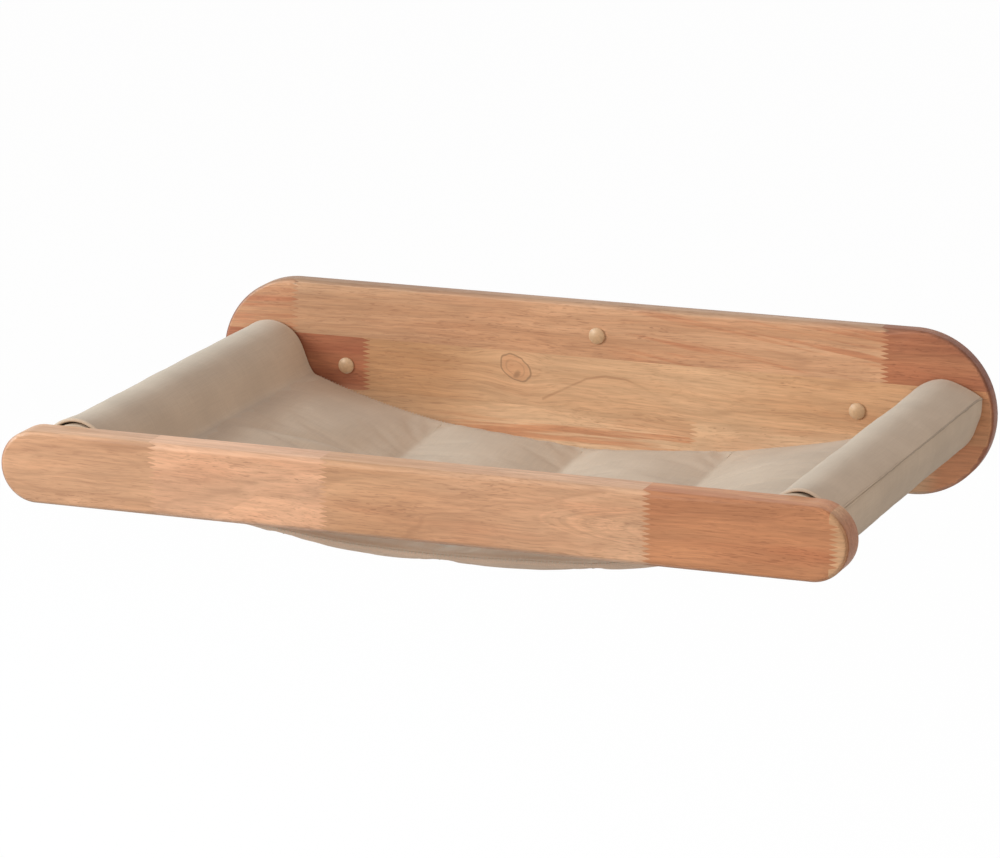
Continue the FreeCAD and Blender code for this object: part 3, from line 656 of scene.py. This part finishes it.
for place in ("top", "left", "right"):
    make_cap("screw_cap_" + place, "cap_" + place, "cap_" + place)

# Canvas and thread
sleeve_canvas = canvas("sleeve_canvas", linear(199, 184, 167), 1.0, seam_line=True)
stitch_thread = thread("stitch_thread", linear(214, 203, 184))

# Form of the quilted bed in metres: two layers of canvas over wadding, sewn together along seams and hems
BED_END_Z = -0.0105
BED_SAG = 0.034
BED_BELLY = 0.0112
SEAM_HALF = 0.0026
TOP_PUFF = 0.0082
LOW_PUFF = 0.0042
PUFF_POWER = 2.3
LIP = 0.0008
LIP_ROUND = 0.0009
LIP_WIDTH = 0.0020
LEAST_TOP = 0.0012
TOP_RIM = 0.0065
LOW_RIM = 0.0040
LOW_CROWN = 0.0008
FRONT_CROWN = 0.0024
FRONT_LOW = 0.0016
FRONT_POWER = 4.0
REAR_CROWNS = (-0.0012, 0.0021, 0.0021, -0.0004)
REAR_POWERS = (1.8, 4.0, 4.0, 1.7)
FRONT_SLACK = 0.0008
FRONT_SLACK_BUMPS = ((0.0010, -0.080, 0.048), (0.0030, 0.125, 0.045))
REAR_DRAW_BUMPS = ((0.0022, -0.050, 0.085), (-0.0040, 0.205, 0.05))
bed_canvas = canvas("bed_canvas", linear(201, 183, 164), 5.0, hem_shade_and_underside_light=True)


def bed_place(x):
    """Share of the sag, place within its channel from -1 to 1, number of the channel and half depth."""
    share = np.clip(x / BED_HALF_SPAN, -1, 1)
    hang = 1 - share * share
    steps = (share + 1) * CHANNELS / 2
    channel = np.clip(np.floor(steps + 1e-6).astype(int), 0, CHANNELS - 1)
    local = (steps - channel) * 2 - 1
    half_depth = BED_HALF_DEPTH - BED_BOW * hang
    return hang, local, channel, half_depth


def bed_layers(x, offset):
    """Heights of the upper and lower layer at a place across and an offset from the middle of the depth."""
    hang, local, channel, half_depth = bed_place(x)
    v = np.clip(offset / half_depth, -1, 1)
    front = smooth_step(0.3, -0.95, v)
    rear = smooth_step(0.2, 0.95, v)
    slack = FRONT_SLACK * hang + bumps(x, FRONT_SLACK_BUMPS)
    level = BED_END_Z - BED_SAG * hang - BED_BELLY * hang * (1 - v * v)
    level = level - front * slack + rear * bumps(x, REAR_DRAW_BUMPS)
    puff = 1 - np.abs(local) ** PUFF_POWER
    inward = 1 - np.abs(v) ** np.where(v > 0, np.take(REAR_POWERS, channel), FRONT_POWER)
    edge_crown = np.take(REAR_CROWNS, channel) * (1 - front) + FRONT_CROWN * front
    top = SEAM_HALF + puff * (edge_crown + (TOP_PUFF - edge_crown) * inward)
    low = SEAM_HALF + FRONT_LOW * front + puff * (LOW_CROWN + (LOW_PUFF - LOW_CROWN) * inward)
    from_rim = half_depth - np.abs(offset)

    def rounded(share):
        return np.sqrt(1 - (1 - np.clip(share, 0, 1)) ** 2)
    lip = LIP * rounded(from_rim / LIP_ROUND)
    top = lip + (np.maximum(top, LEAST_TOP) - LIP) * rounded((from_rim - LIP_WIDTH) / TOP_RIM)
    low = lip + (low - LIP) * rounded((from_rim - LIP_WIDTH) / LOW_RIM)
    return level + top, level - low


# Sleeves: a sheet drawn round the arm, from its tail on the bed over the roll to the seam and back under it.
# The places of a section are given outwards and up from the axis of the arm.
ROLL = 0.028
ROLL_POINTS = 26
SEAMS = {
    -1: ((0.0237, 0.0169), (0.0315, 0.0118), (0.0300, 0.0026)),
    1: ((0.0246, 0.0203), (0.0318, 0.0168), (0.0313, 0.0040)),
}
UPPER_TAIL = [
    (-0.0540, -0.0116), (-0.0480, -0.0104), (-0.0420, -0.0097), (-0.0380, -0.0093), (-0.0352, -0.0089),
    (-0.0338, -0.0082), (-0.0328, -0.0069),
]
UPPER_CORNER = (-0.0325, -0.0072)
LOWER_CORNER = (-0.034, -0.0152)
LOWER_TAIL = [(-0.0330, -0.0158), (-0.0370, -0.0160), (-0.0420, -0.0165), (-0.0460, -0.0160)]
NEAR_SEAM_STEPS = np.array([0.0, 0.0004, 0.0009, 0.0016, 0.0028])
SECTION_STEPS = np.arange(0.005, 0.3, 0.0026)
SHARP_SEAM = 0.0012
SHOULDER_DROP = {-1: 0.0, 1: 0.0032}
SHOULDER_ANGLE = math.radians(132)
SHOULDER_REACH = math.radians(75)
SLEEVE_REAR = BOARD_FRONT - 0.0010
SLEEVE_LENGTH = SLEEVE_REAR - (RAIL_REAR + 0.0014)
SLEEVE_END_STEPS = np.array([0.0, 0.0006, 0.0014, 0.0024, 0.0040])
CANVAS_THICKNESS = 0.0020
SEAM_GROOVE = 0.0011
SEAM_PUCKER = 0.0006
PUCKER_PITCH = 0.0085
SEAM_SINK = 0.0004
SEAM_SINK_FORWARD = 0.0030
SOFT_WAVE = 0.0007
FINE_WAVE = 0.00022
END_HEM_WIDTH = 0.0012
END_HEM_RISE = 0.0005
END_HEM_TURN = 0.0018
TAIL_GAP = 0.0004
TAIL_DIVE = 0.0062
TAIL_END_DROP = 0.0014
TAIL_END_LENGTH = 0.012
MOUTH_FLARE = {-1: 0.0014, 1: 0.0024}
MOUTH_DEPTH = 0.028
HEM_RADIUS = 0.0254
HEM_ANGLES = np.linspace(math.radians(155), math.radians(25), 28)
HEM_DEPTHS = (0.020, 0.012, 0.006, 0.0012, 0.0006)
HEM_WEAVE = 0.05


def sleeve_section(side):
    """Points of the section and their distance along it from the seam."""
    def tangent(corner, turn):
        angle = math.atan2(corner[1], corner[0]) + turn * math.acos(ROLL / math.hypot(*corner))
        return angle % (2 * math.pi)
    above_seam, seam, below_seam = SEAMS[side]
    keys = list(UPPER_TAIL)
    for a in np.linspace(tangent(UPPER_CORNER, -1), tangent(seam, 1), ROLL_POINTS)[1:]:
        away = min(abs(a - SHOULDER_ANGLE) / SHOULDER_REACH, 1.0)
        radius = ROLL - SHOULDER_DROP[side] * math.cos(away * math.pi / 2) ** 2
        keys.append((radius * math.cos(a), radius * math.sin(a)))
    seam_key = len(keys) + 1
    keys += [above_seam, seam, below_seam]
    for a in np.linspace(tangent(seam, -1), tangent(LOWER_CORNER, 1), ROLL_POINTS):
        keys.append((ROLL * math.cos(a), ROLL * math.sin(a)))
    keys = np.array(keys + LOWER_TAIL)
    reach = np.concatenate([[0], np.cumsum(np.linalg.norm(np.diff(keys, axis=0), axis=1))])
    seam_reach = reach[seam_key]
    before = seam_reach - np.concatenate([NEAR_SEAM_STEPS, SECTION_STEPS])
    after = seam_reach + np.concatenate([NEAR_SEAM_STEPS[1:], SECTION_STEPS])
    places = np.concatenate([before[before > 0][::-1], after[after < reach[-1]]])
    section = np.stack([np.interp(places, reach, keys[:, 0]), np.interp(places, reach, keys[:, 1])], axis=1)
    keep = np.abs(places[1:-1] - seam_reach) < SHARP_SEAM
    for _ in range(2):
        inner = section[1:-1] * 0.5 + (section[:-2] + section[2:]) * 0.25
        section[1:-1] = np.where(keep[:, None], section[1:-1], inner)
    return section, places - seam_reach


def make_sleeve(name, node, side):
    """Canvas tube with a puckered seam, a tail on the bed and a turned-in hem at its mouth."""
    section, reach = sleeve_section(side)
    middle = np.arange(0.007, SLEEVE_LENGTH - 0.006, 0.0030)
    stations = np.concatenate([SLEEVE_END_STEPS, middle, SLEEVE_LENGTH - SLEEVE_END_STEPS[::-1]])
    tangents = np.gradient(section, axis=0)
    tangents /= np.linalg.norm(tangents, axis=1)[:, None]
    normals = np.stack([tangents[:, 1], -tangents[:, 0]], axis=1)
    if (normals * section).sum() < 0:
        normals = -normals
    near_seam = np.exp(-(np.abs(reach) / 0.011) ** 1.5)
    groove = -SEAM_GROOVE * np.exp(-(reach / 0.0008) ** 2)
    roll_part = smooth_step(-0.040, -0.031, section[:, 0])
    is_tail = (reach < 0) & (section[:, 0] < -0.030)
    angle = np.arctan2(section[:, 1], section[:, 0])
    crown = np.exp(-((angle - math.radians(80)) / math.radians(38)) ** 2)
    points, uvs = [], []
    for station in stations:
        y = SLEEVE_REAR - station
        from_end = min(station, SLEEVE_LENGTH - station)
        gather = [noise.noise(Vector((0.3 + side, station / PUCKER_PITCH, k * 9.0))) for k in (0, 1)]
        gather = np.where(reach < 0, gather[0], gather[1])
        rows = np.stack([section[:, 0], np.full(len(section), y), section[:, 1]], axis=1)
        soft = wander(rows + (side * 2, 0, 0), 0.055, 2.0 + side)
        fine = wander(rows + (side * 2, 0, 0), 0.017, 4.0 + side)
        push = SOFT_WAVE * soft + FINE_WAVE * fine + groove
        sink = SEAM_SINK + SEAM_SINK_FORWARD * station / SLEEVE_LENGTH
        push = push + near_seam * (SEAM_PUCKER * gather - sink)
        hem = math.exp(-((from_end - END_HEM_WIDTH) / END_HEM_WIDTH) ** 2)
        push = push + END_HEM_RISE * hem - END_HEM_TURN * smooth_step(END_HEM_WIDTH, 0.0, from_end)
        mouth = smooth_step(SLEEVE_LENGTH - MOUTH_DEPTH, SLEEVE_LENGTH, station)
        push = push + MOUTH_FLARE[side] * crown * mouth
        moved = section + normals * (push * roll_part)[:, None]
        top, _ = bed_layers(side * (ARM_X + moved[:, 0]), np.full(len(section), y - BED_MIDDLE_Y))
        settle = smooth_step(-0.0330, -0.0372, moved[:, 0]) * is_tail
        rim = smooth_step(TAIL_END_LENGTH, 0.0, from_end)
        dive = TAIL_DIVE * smooth_step(-0.0420, -0.0520, moved[:, 0]) * is_tail * (1 - 0.6 * rim)
        up = moved[:, 1] * (1 - settle) + settle * (top + TAIL_GAP) - dive - TAIL_END_DROP * rim * settle
        for out, height, along in zip(moved[:, 0], up, reach):
            points.append((side * (ARM_X + out), y, height))
            uvs.append((along, station))
    faces = grid_faces(0, len(stations), len(section), flipped=side > 0)
    first = len(points)
    for depth in HEM_DEPTHS:
        for a in HEM_ANGLES:
            out, height = HEM_RADIUS * math.cos(a), HEM_RADIUS * math.sin(a)
            points.append((side * (ARM_X + out), RAIL_REAR + depth, height))
            uvs.append((HEM_WEAVE + HEM_RADIUS * a, depth))
    faces += grid_faces(first, len(HEM_DEPTHS), len(HEM_ANGLES), flipped=side > 0)
    sleeve = mesh_object(name, points, faces, uvs)
    thick = sleeve.modifiers.new("canvas", "SOLIDIFY")
    thick.thickness = CANVAS_THICKNESS
    thick.offset = -1
    finer = sleeve.modifiers.new("finer", "SUBSURF")
    finer.levels = finer.render_levels = 1
    sleeve.data.materials.append(sleeve_canvas)
    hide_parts(node)
    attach(sleeve, "frame")


make_sleeve("left_sleeve_canvas", "left_sleeve", -1)
make_sleeve("right_sleeve_canvas", "right_sleeve", 1)

# Quilted bed as one closed mesh of an upper and a lower layer, with its ends tucked under the sleeves' tails
RIM_STEPS = np.array([0.0, 0.0003, 0.0009, 0.0018, 0.0023, 0.0030, 0.0042, 0.0058, 0.0078, 0.0105])
HEM_ROWS = len(RIM_STEPS) - 4
TUCKED = np.array([0.2241, 0.2262])
ROWS = 80
COLUMNS = 30
SEAM_COLUMNS = [len(TUCKED) + COLUMNS * k for k in range(CHANNELS + 1)]


def make_bed():
    """The bed, and the places of its upper and lower layer by column and row."""
    columns = np.linspace(-BED_HALF_SPAN, BED_HALF_SPAN, CHANNELS * COLUMNS + 1)
    columns = np.concatenate([-TUCKED[::-1], columns, TUCKED])
    half_depth = bed_place(columns)[3]
    shares = np.linspace(1, -1, ROWS)[1:-1]
    inner = half_depth - RIM_STEPS[-1]
    offsets = np.concatenate([half_depth[:, None] - RIM_STEPS, inner[:, None] * shares,
                              RIM_STEPS[::-1] - half_depth[:, None]], axis=1)
    width, rows = offsets.shape
    across = np.repeat(columns[:, None], rows, axis=1)
    high, low = bed_layers(across.ravel(), offsets.ravel())
    along = BED_MIDDLE_Y + offsets
    top = np.stack([across, along, high.reshape(width, rows)], axis=2)
    bottom = np.stack([across, along, low.reshape(width, rows)], axis=2)[:, 1:-1]
    points = np.concatenate([top.reshape(-1, 3), bottom.reshape(-1, 3)])
    uvs = points[:, :2].copy()
    top_id = np.arange(width * rows).reshape(width, rows)
    inner_id = width * rows + np.arange(width * (rows - 2)).reshape(width, rows - 2)
    bottom_id = np.concatenate([top_id[:, :1], inner_id, top_id[:, -1:]], axis=1)
    faces = []
    for c in range(width - 1):
        for r in range(rows - 1):
            faces.append((top_id[c, r], top_id[c, r + 1], top_id[c + 1, r + 1], top_id[c + 1, r]))
            faces.append((bottom_id[c, r], bottom_id[c + 1, r], bottom_id[c + 1, r + 1], bottom_id[c, r + 1]))
    for c, flip in ((0, False), (width - 1, True)):
        for r in range(rows - 1):
            loop = [top_id[c, r], bottom_id[c, r], bottom_id[c, r + 1], top_id[c, r + 1]]
            loop = [k for i, k in enumerate(loop) if k not in loop[:i]]
            faces.append(tuple(loop[::-1] if flip else loop))
    faces = [tuple(int(k) for k in face) for face in faces]
    bed = mesh_object("quilted_bed_canvas", points, faces, uvs)
    sewn = SEAM_COLUMNS + [0, 1, width - 2, width - 1]
    held = np.zeros(len(points), bool)
    for layer in (top_id, bottom_id):
        held[layer[sewn].ravel()] = True
        held[layer[:, :HEM_ROWS].ravel()] = True
        held[layer[:, -HEM_ROWS:].ravel()] = True
    points = fill_with_air(bed, points, held)
    points = fold_channel(points, width * rows)
    bed.data.vertices.foreach_set("co", points.astype(np.float32).ravel())
    bed.data.update()
    finer = bed.modifiers.new("finer", "SUBSURF")
    finer.levels = finer.render_levels = 1
    bed.data.materials.append(bed_canvas)
    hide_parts("quilted_bed")
    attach(bed, "frame")
    return points[top_id], points[bottom_id]


# Swelling of the channels, which is calmer at the rear of the outer two
SWELL_STEPS = 20
SWELL_LIMIT = 0.004
OUTER_CALM = 0.75


def fill_with_air(bed, points, held):
    """Cloth simulation that swells the channels between the sewn lines."""
    group = bed.vertex_groups.new(name="sewn")
    group.add([int(k) for k in np.nonzero(held)[0]], 1.0, "REPLACE")
    cloth = bed.modifiers.new("swell", "CLOTH")
    settings = cloth.settings
    settings.vertex_group_mass = "sewn"
    settings.quality = 5
    settings.mass = 0.3
    settings.tension_stiffness = settings.compression_stiffness = 15
    settings.shear_stiffness = 5
    settings.bending_stiffness = 0.4
    settings.shrink_min = settings.shrink_max = -0.008
    settings.use_pressure = True
    settings.uniform_pressure_force = 3.0
    settings.effector_weights.gravity = 0.0
    cloth.collision_settings.use_collision = False
    cloth.collision_settings.use_self_collision = False
    for step in range(SWELL_STEPS):
        scene.frame_set(step + 1)
    swollen = bed.evaluated_get(bpy.context.evaluated_depsgraph_get()).data
    found = np.zeros(len(points) * 3, np.float32)
    swollen.vertices.foreach_get("co", found)
    move = found.reshape(-1, 3) - points
    length = np.linalg.norm(move, axis=1)
    move *= np.minimum(1, SWELL_LIMIT / np.maximum(length, 1e-9))[:, None]
    _, _, channel, half_depth = bed_place(points[:, 0])
    outer = (channel == 0) | (channel == CHANNELS - 1)
    share_of_depth = (points[:, 1] - BED_MIDDLE_Y) / half_depth
    move *= (1 - OUTER_CALM * outer * smooth_step(0.45, 1.0, share_of_depth))[:, None]
    bed.modifiers.remove(cloth)
    bed.vertex_groups.remove(group)
    scene.frame_set(1)
    return points + move


# Crease of the fold: the place where it turns, its slopes to the left and right of it, and its depth
FOLD_X = -0.175
FOLD_Y = -0.168
FOLD_SLOPES = (0.15, 0.57)
FOLD_DEPTH = 0.0052
FOLD_CREST = 0.45


def fold_channel(points, top_count):
    """Fold across the left channel: a crease with a crest in front of it and a slow rise behind it."""
    x, y = points[:, 0], points[:, 1]
    line = FOLD_Y + np.where(x > FOLD_X, FOLD_SLOPES[1], FOLD_SLOPES[0]) * (x - FOLD_X)
    ahead = line - y
    depth = FOLD_DEPTH * smooth_step(-0.214, -0.190, x) * smooth_step(-0.116, -0.138, x)
    crest = FOLD_CREST * np.exp(-((ahead - 0.017) / 0.011) ** 2)
    shape = np.where(ahead > 0, np.exp(-ahead / 0.006) - crest, np.exp(ahead / 0.018))
    moved = points.copy()
    moved[:top_count, 2] -= (depth * shape)[:top_count]
    return moved


bed_top, bed_bottom = make_bed()

# Sewing, with the form of a stitch as places along it and widths
STITCH_SIDES = 6
STITCH_FORM = ((0.0, 0.35), (0.15, 0.9), (0.5, 1.0), (0.85, 0.9), (1.0, 0.35))


def stitches(name, starts, stops, radius):
    """Short rounded stitches of thread, one from each start to its stop."""
    points, faces = [], []
    for start, stop in zip(starts, stops):
        start, stop = Vector(start), Vector(stop)
        axis = (stop - start).normalized()
        across = axis.orthogonal().normalized()
        other = axis.cross(across)
        first = len(points)
        for share, wide in STITCH_FORM:
            centre = start.lerp(stop, share)
            for k in range(STITCH_SIDES):
                a = 2 * math.pi * k / STITCH_SIDES
                points.append(centre + radius * wide * (math.cos(a) * across + math.sin(a) * other))
        faces += grid_faces(first, len(STITCH_FORM), STITCH_SIDES, closed=True)
        faces.append(tuple(first + k for k in reversed(range(STITCH_SIDES))))
        faces.append(tuple(len(points) - STITCH_SIDES + k for k in range(STITCH_SIDES)))
    sewing = mesh_object(name, points, faces)
    sewing.data.materials.append(stitch_thread)
    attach(sewing, "frame")


def along_line(line, pitch, share):
    """Starts and stops of stitches of this pitch along a line of points."""
    line = np.asarray(line)
    reach = np.concatenate([[0], np.cumsum(np.linalg.norm(np.diff(line, axis=0), axis=1))])
    begin = np.arange(pitch, reach[-1] - pitch, pitch)

    def at(where):
        return np.stack([np.interp(where, reach, line[:, k]) for k in range(3)], axis=1)
    return at(begin), at(begin + share * pitch)


QUILTING_PITCH = 0.0034
QUILTING_LIFT = 0.0001
HEM_STITCH_PITCH = 0.0026
HEM_STITCH_HALF = 0.0011
HEM_STITCH_OUT = 0.0004
LINE_INSET = 3
seam_starts, seam_stops = [], []
for column in SEAM_COLUMNS[1:-1]:
    for layer, lift in ((bed_top, QUILTING_LIFT), (bed_bottom, -QUILTING_LIFT)):
        line = layer[column, LINE_INSET:-LINE_INSET] + (0, 0, lift)
        starts, stops = along_line(line, QUILTING_PITCH, 0.72)
        seam_starts += list(starts)
        seam_stops += list(stops)
stitches("quilting_stitches", seam_starts, seam_stops, 0.00032)
hem_starts, hem_stops = [], []
for row, out in ((0, HEM_STITCH_OUT), (-1, -HEM_STITCH_OUT)):
    line = (bed_top[:, row] + (0, out, 0))[LINE_INSET:-LINE_INSET]
    starts, _ = along_line(line, HEM_STITCH_PITCH, 0.5)
    hem_starts += list(starts + (0, 0, HEM_STITCH_HALF))
    hem_stops += list(starts - (0, 0, HEM_STITCH_HALF))
stitches("hem_stitches", hem_starts, hem_stops, 0.00026)

# Floor far below and light: each lamp's name, place, size, power and colour
FLOOR_Z = -0.60
FLOOR_SIZE = 16.0
FLOOR_GREY = (0.55, 0.55, 0.55, 1.0)
FLOOR_GLOW = 1.03
FLOOR_GLOW_SHARE = 0.94
SKY_TINT = (1.06, 0.98, 0.96, 1.0)
SKY_STRENGTH = 0.54
LIGHTS = (
    ("left_light", (-2.25, -0.1, 1.15), 0.8, 25.5, (0.60, 1.0, 1.25)),
    ("front_light", (-1.9, -2.0, 1.0), 1.2, 46.0, (1.10, 0.99, 0.86)),
    ("right_light", (2.4, -0.9, 1.0), 1.2, 10.0, (1.0, 0.80, 0.50)),
)


def seen_directly(tree):
    """Socket that is 1 for what is seen, also in a reflection or through glass, and 0 for lighting."""
    path = tree.nodes.new("ShaderNodeLightPath")
    seen = path.outputs["Is Camera Ray"]
    for ray in ("Is Glossy Ray", "Is Transmission Ray"):
        either = tree.nodes.new("ShaderNodeMath")
        either.operation = "MAXIMUM"
        tree.links.new(seen, either.inputs[0])
        tree.links.new(path.outputs[ray], either.inputs[1])
        seen = either.outputs[0]
    return seen


def blend_shaders(tree, share, first, second, output):
    """Lead the mix of two shaders to the output."""
    blend = tree.nodes.new("ShaderNodeMixShader")
    tree.links.new(share, blend.inputs[0])
    tree.links.new(first.outputs[0], blend.inputs[1])
    tree.links.new(second.outputs[0], blend.inputs[2])
    tree.links.new(blend.outputs[0], output.inputs["Surface"])


def make_floor():
    """White floor that is seen as bright as the background and still takes a faint shadow."""
    corners = ((-1, -1), (1, -1), (1, 1), (-1, 1))
    points = [(x * FLOOR_SIZE, y * FLOOR_SIZE, FLOOR_Z) for x, y in corners]
    floor = mesh_object("floor", points, [(0, 1, 2, 3)])
    material = bpy.data.materials.new("pale_floor")
    material.use_nodes = True
    tree = material.node_tree
    tree.nodes.clear()
    output = tree.nodes.new("ShaderNodeOutputMaterial")
    rough = tree.nodes.new("ShaderNodeBsdfDiffuse")
    rough.inputs["Color"].default_value = FLOOR_GREY
    white = tree.nodes.new("ShaderNodeEmission")
    white.inputs["Strength"].default_value = FLOOR_GLOW
    share = tree.nodes.new("ShaderNodeMath")
    share.operation = "MULTIPLY"
    share.inputs[1].default_value = FLOOR_GLOW_SHARE
    tree.links.new(seen_directly(tree), share.inputs[0])
    blend_shaders(tree, share.outputs[0], rough, white, output)
    floor.data.materials.append(material)


def make_world():
    """White background with a softer, warmer light of its own."""
    world = bpy.data.worlds.new("studio")
    scene.world = world
    world.use_nodes = True
    tree = world.node_tree
    tree.nodes.clear()
    output = tree.nodes.new("ShaderNodeOutputWorld")
    white = tree.nodes.new("ShaderNodeBackground")
    white.inputs["Color"].default_value = (1.0, 1.0, 1.0, 1.0)
    white.inputs["Strength"].default_value = 1.0
    lighting = tree.nodes.new("ShaderNodeBackground")
    lighting.inputs["Color"].default_value = SKY_TINT
    lighting.inputs["Strength"].default_value = SKY_STRENGTH
    blend_shaders(tree, seen_directly(tree), lighting, white, output)


def area_light(name, place, size, power, colour):
    """Round lamp that looks at the middle of the bed."""
    data = bpy.data.lights.new(name, "AREA")
    data.shape = "DISK"
    data.size = size
    data.energy = power
    data.color = colour
    lamp = bpy.data.objects.new(name, data)
    scene.collection.objects.link(lamp)
    lamp.location = place
    direction = Vector((0.0, BED_MIDDLE_Y, 0.0)) - Vector(place)
    lamp.rotation_euler = direction.to_track_quat("-Z", "Y").to_euler()


make_floor()
make_world()
for light in LIGHTS:
    area_light(*light)

# Camera at the photograph's place
CAMERA_PLACE = Vector((1.18595, -3.24717, 0.84035))
CAMERA_BACK = Vector((0.35231788, -0.90302758, 0.24579116))
CAMERA_YAW = math.radians(21.313)
CAMERA_ROLL = math.radians(-0.155)
right = Vector((math.cos(CAMERA_YAW), math.sin(CAMERA_YAW), 0.0))
upward = CAMERA_BACK.cross(right)
turned_right = math.cos(CAMERA_ROLL) * right + math.sin(CAMERA_ROLL) * upward
turned_up = -math.sin(CAMERA_ROLL) * right + math.cos(CAMERA_ROLL) * upward
camera_data = bpy.data.cameras.new("camera")
camera_data.sensor_width = 36.0
camera_data.sensor_fit = "HORIZONTAL"
camera_data.lens = 177.02
camera = bpy.data.objects.new("camera", camera_data)
scene.collection.objects.link(camera)
turn = Matrix((turned_right, turned_up, CAMERA_BACK)).transposed().to_4x4()
camera.matrix_world = Matrix.Translation(CAMERA_PLACE) @ turn
scene.camera = camera
scene.view_settings.view_transform = "Standard"
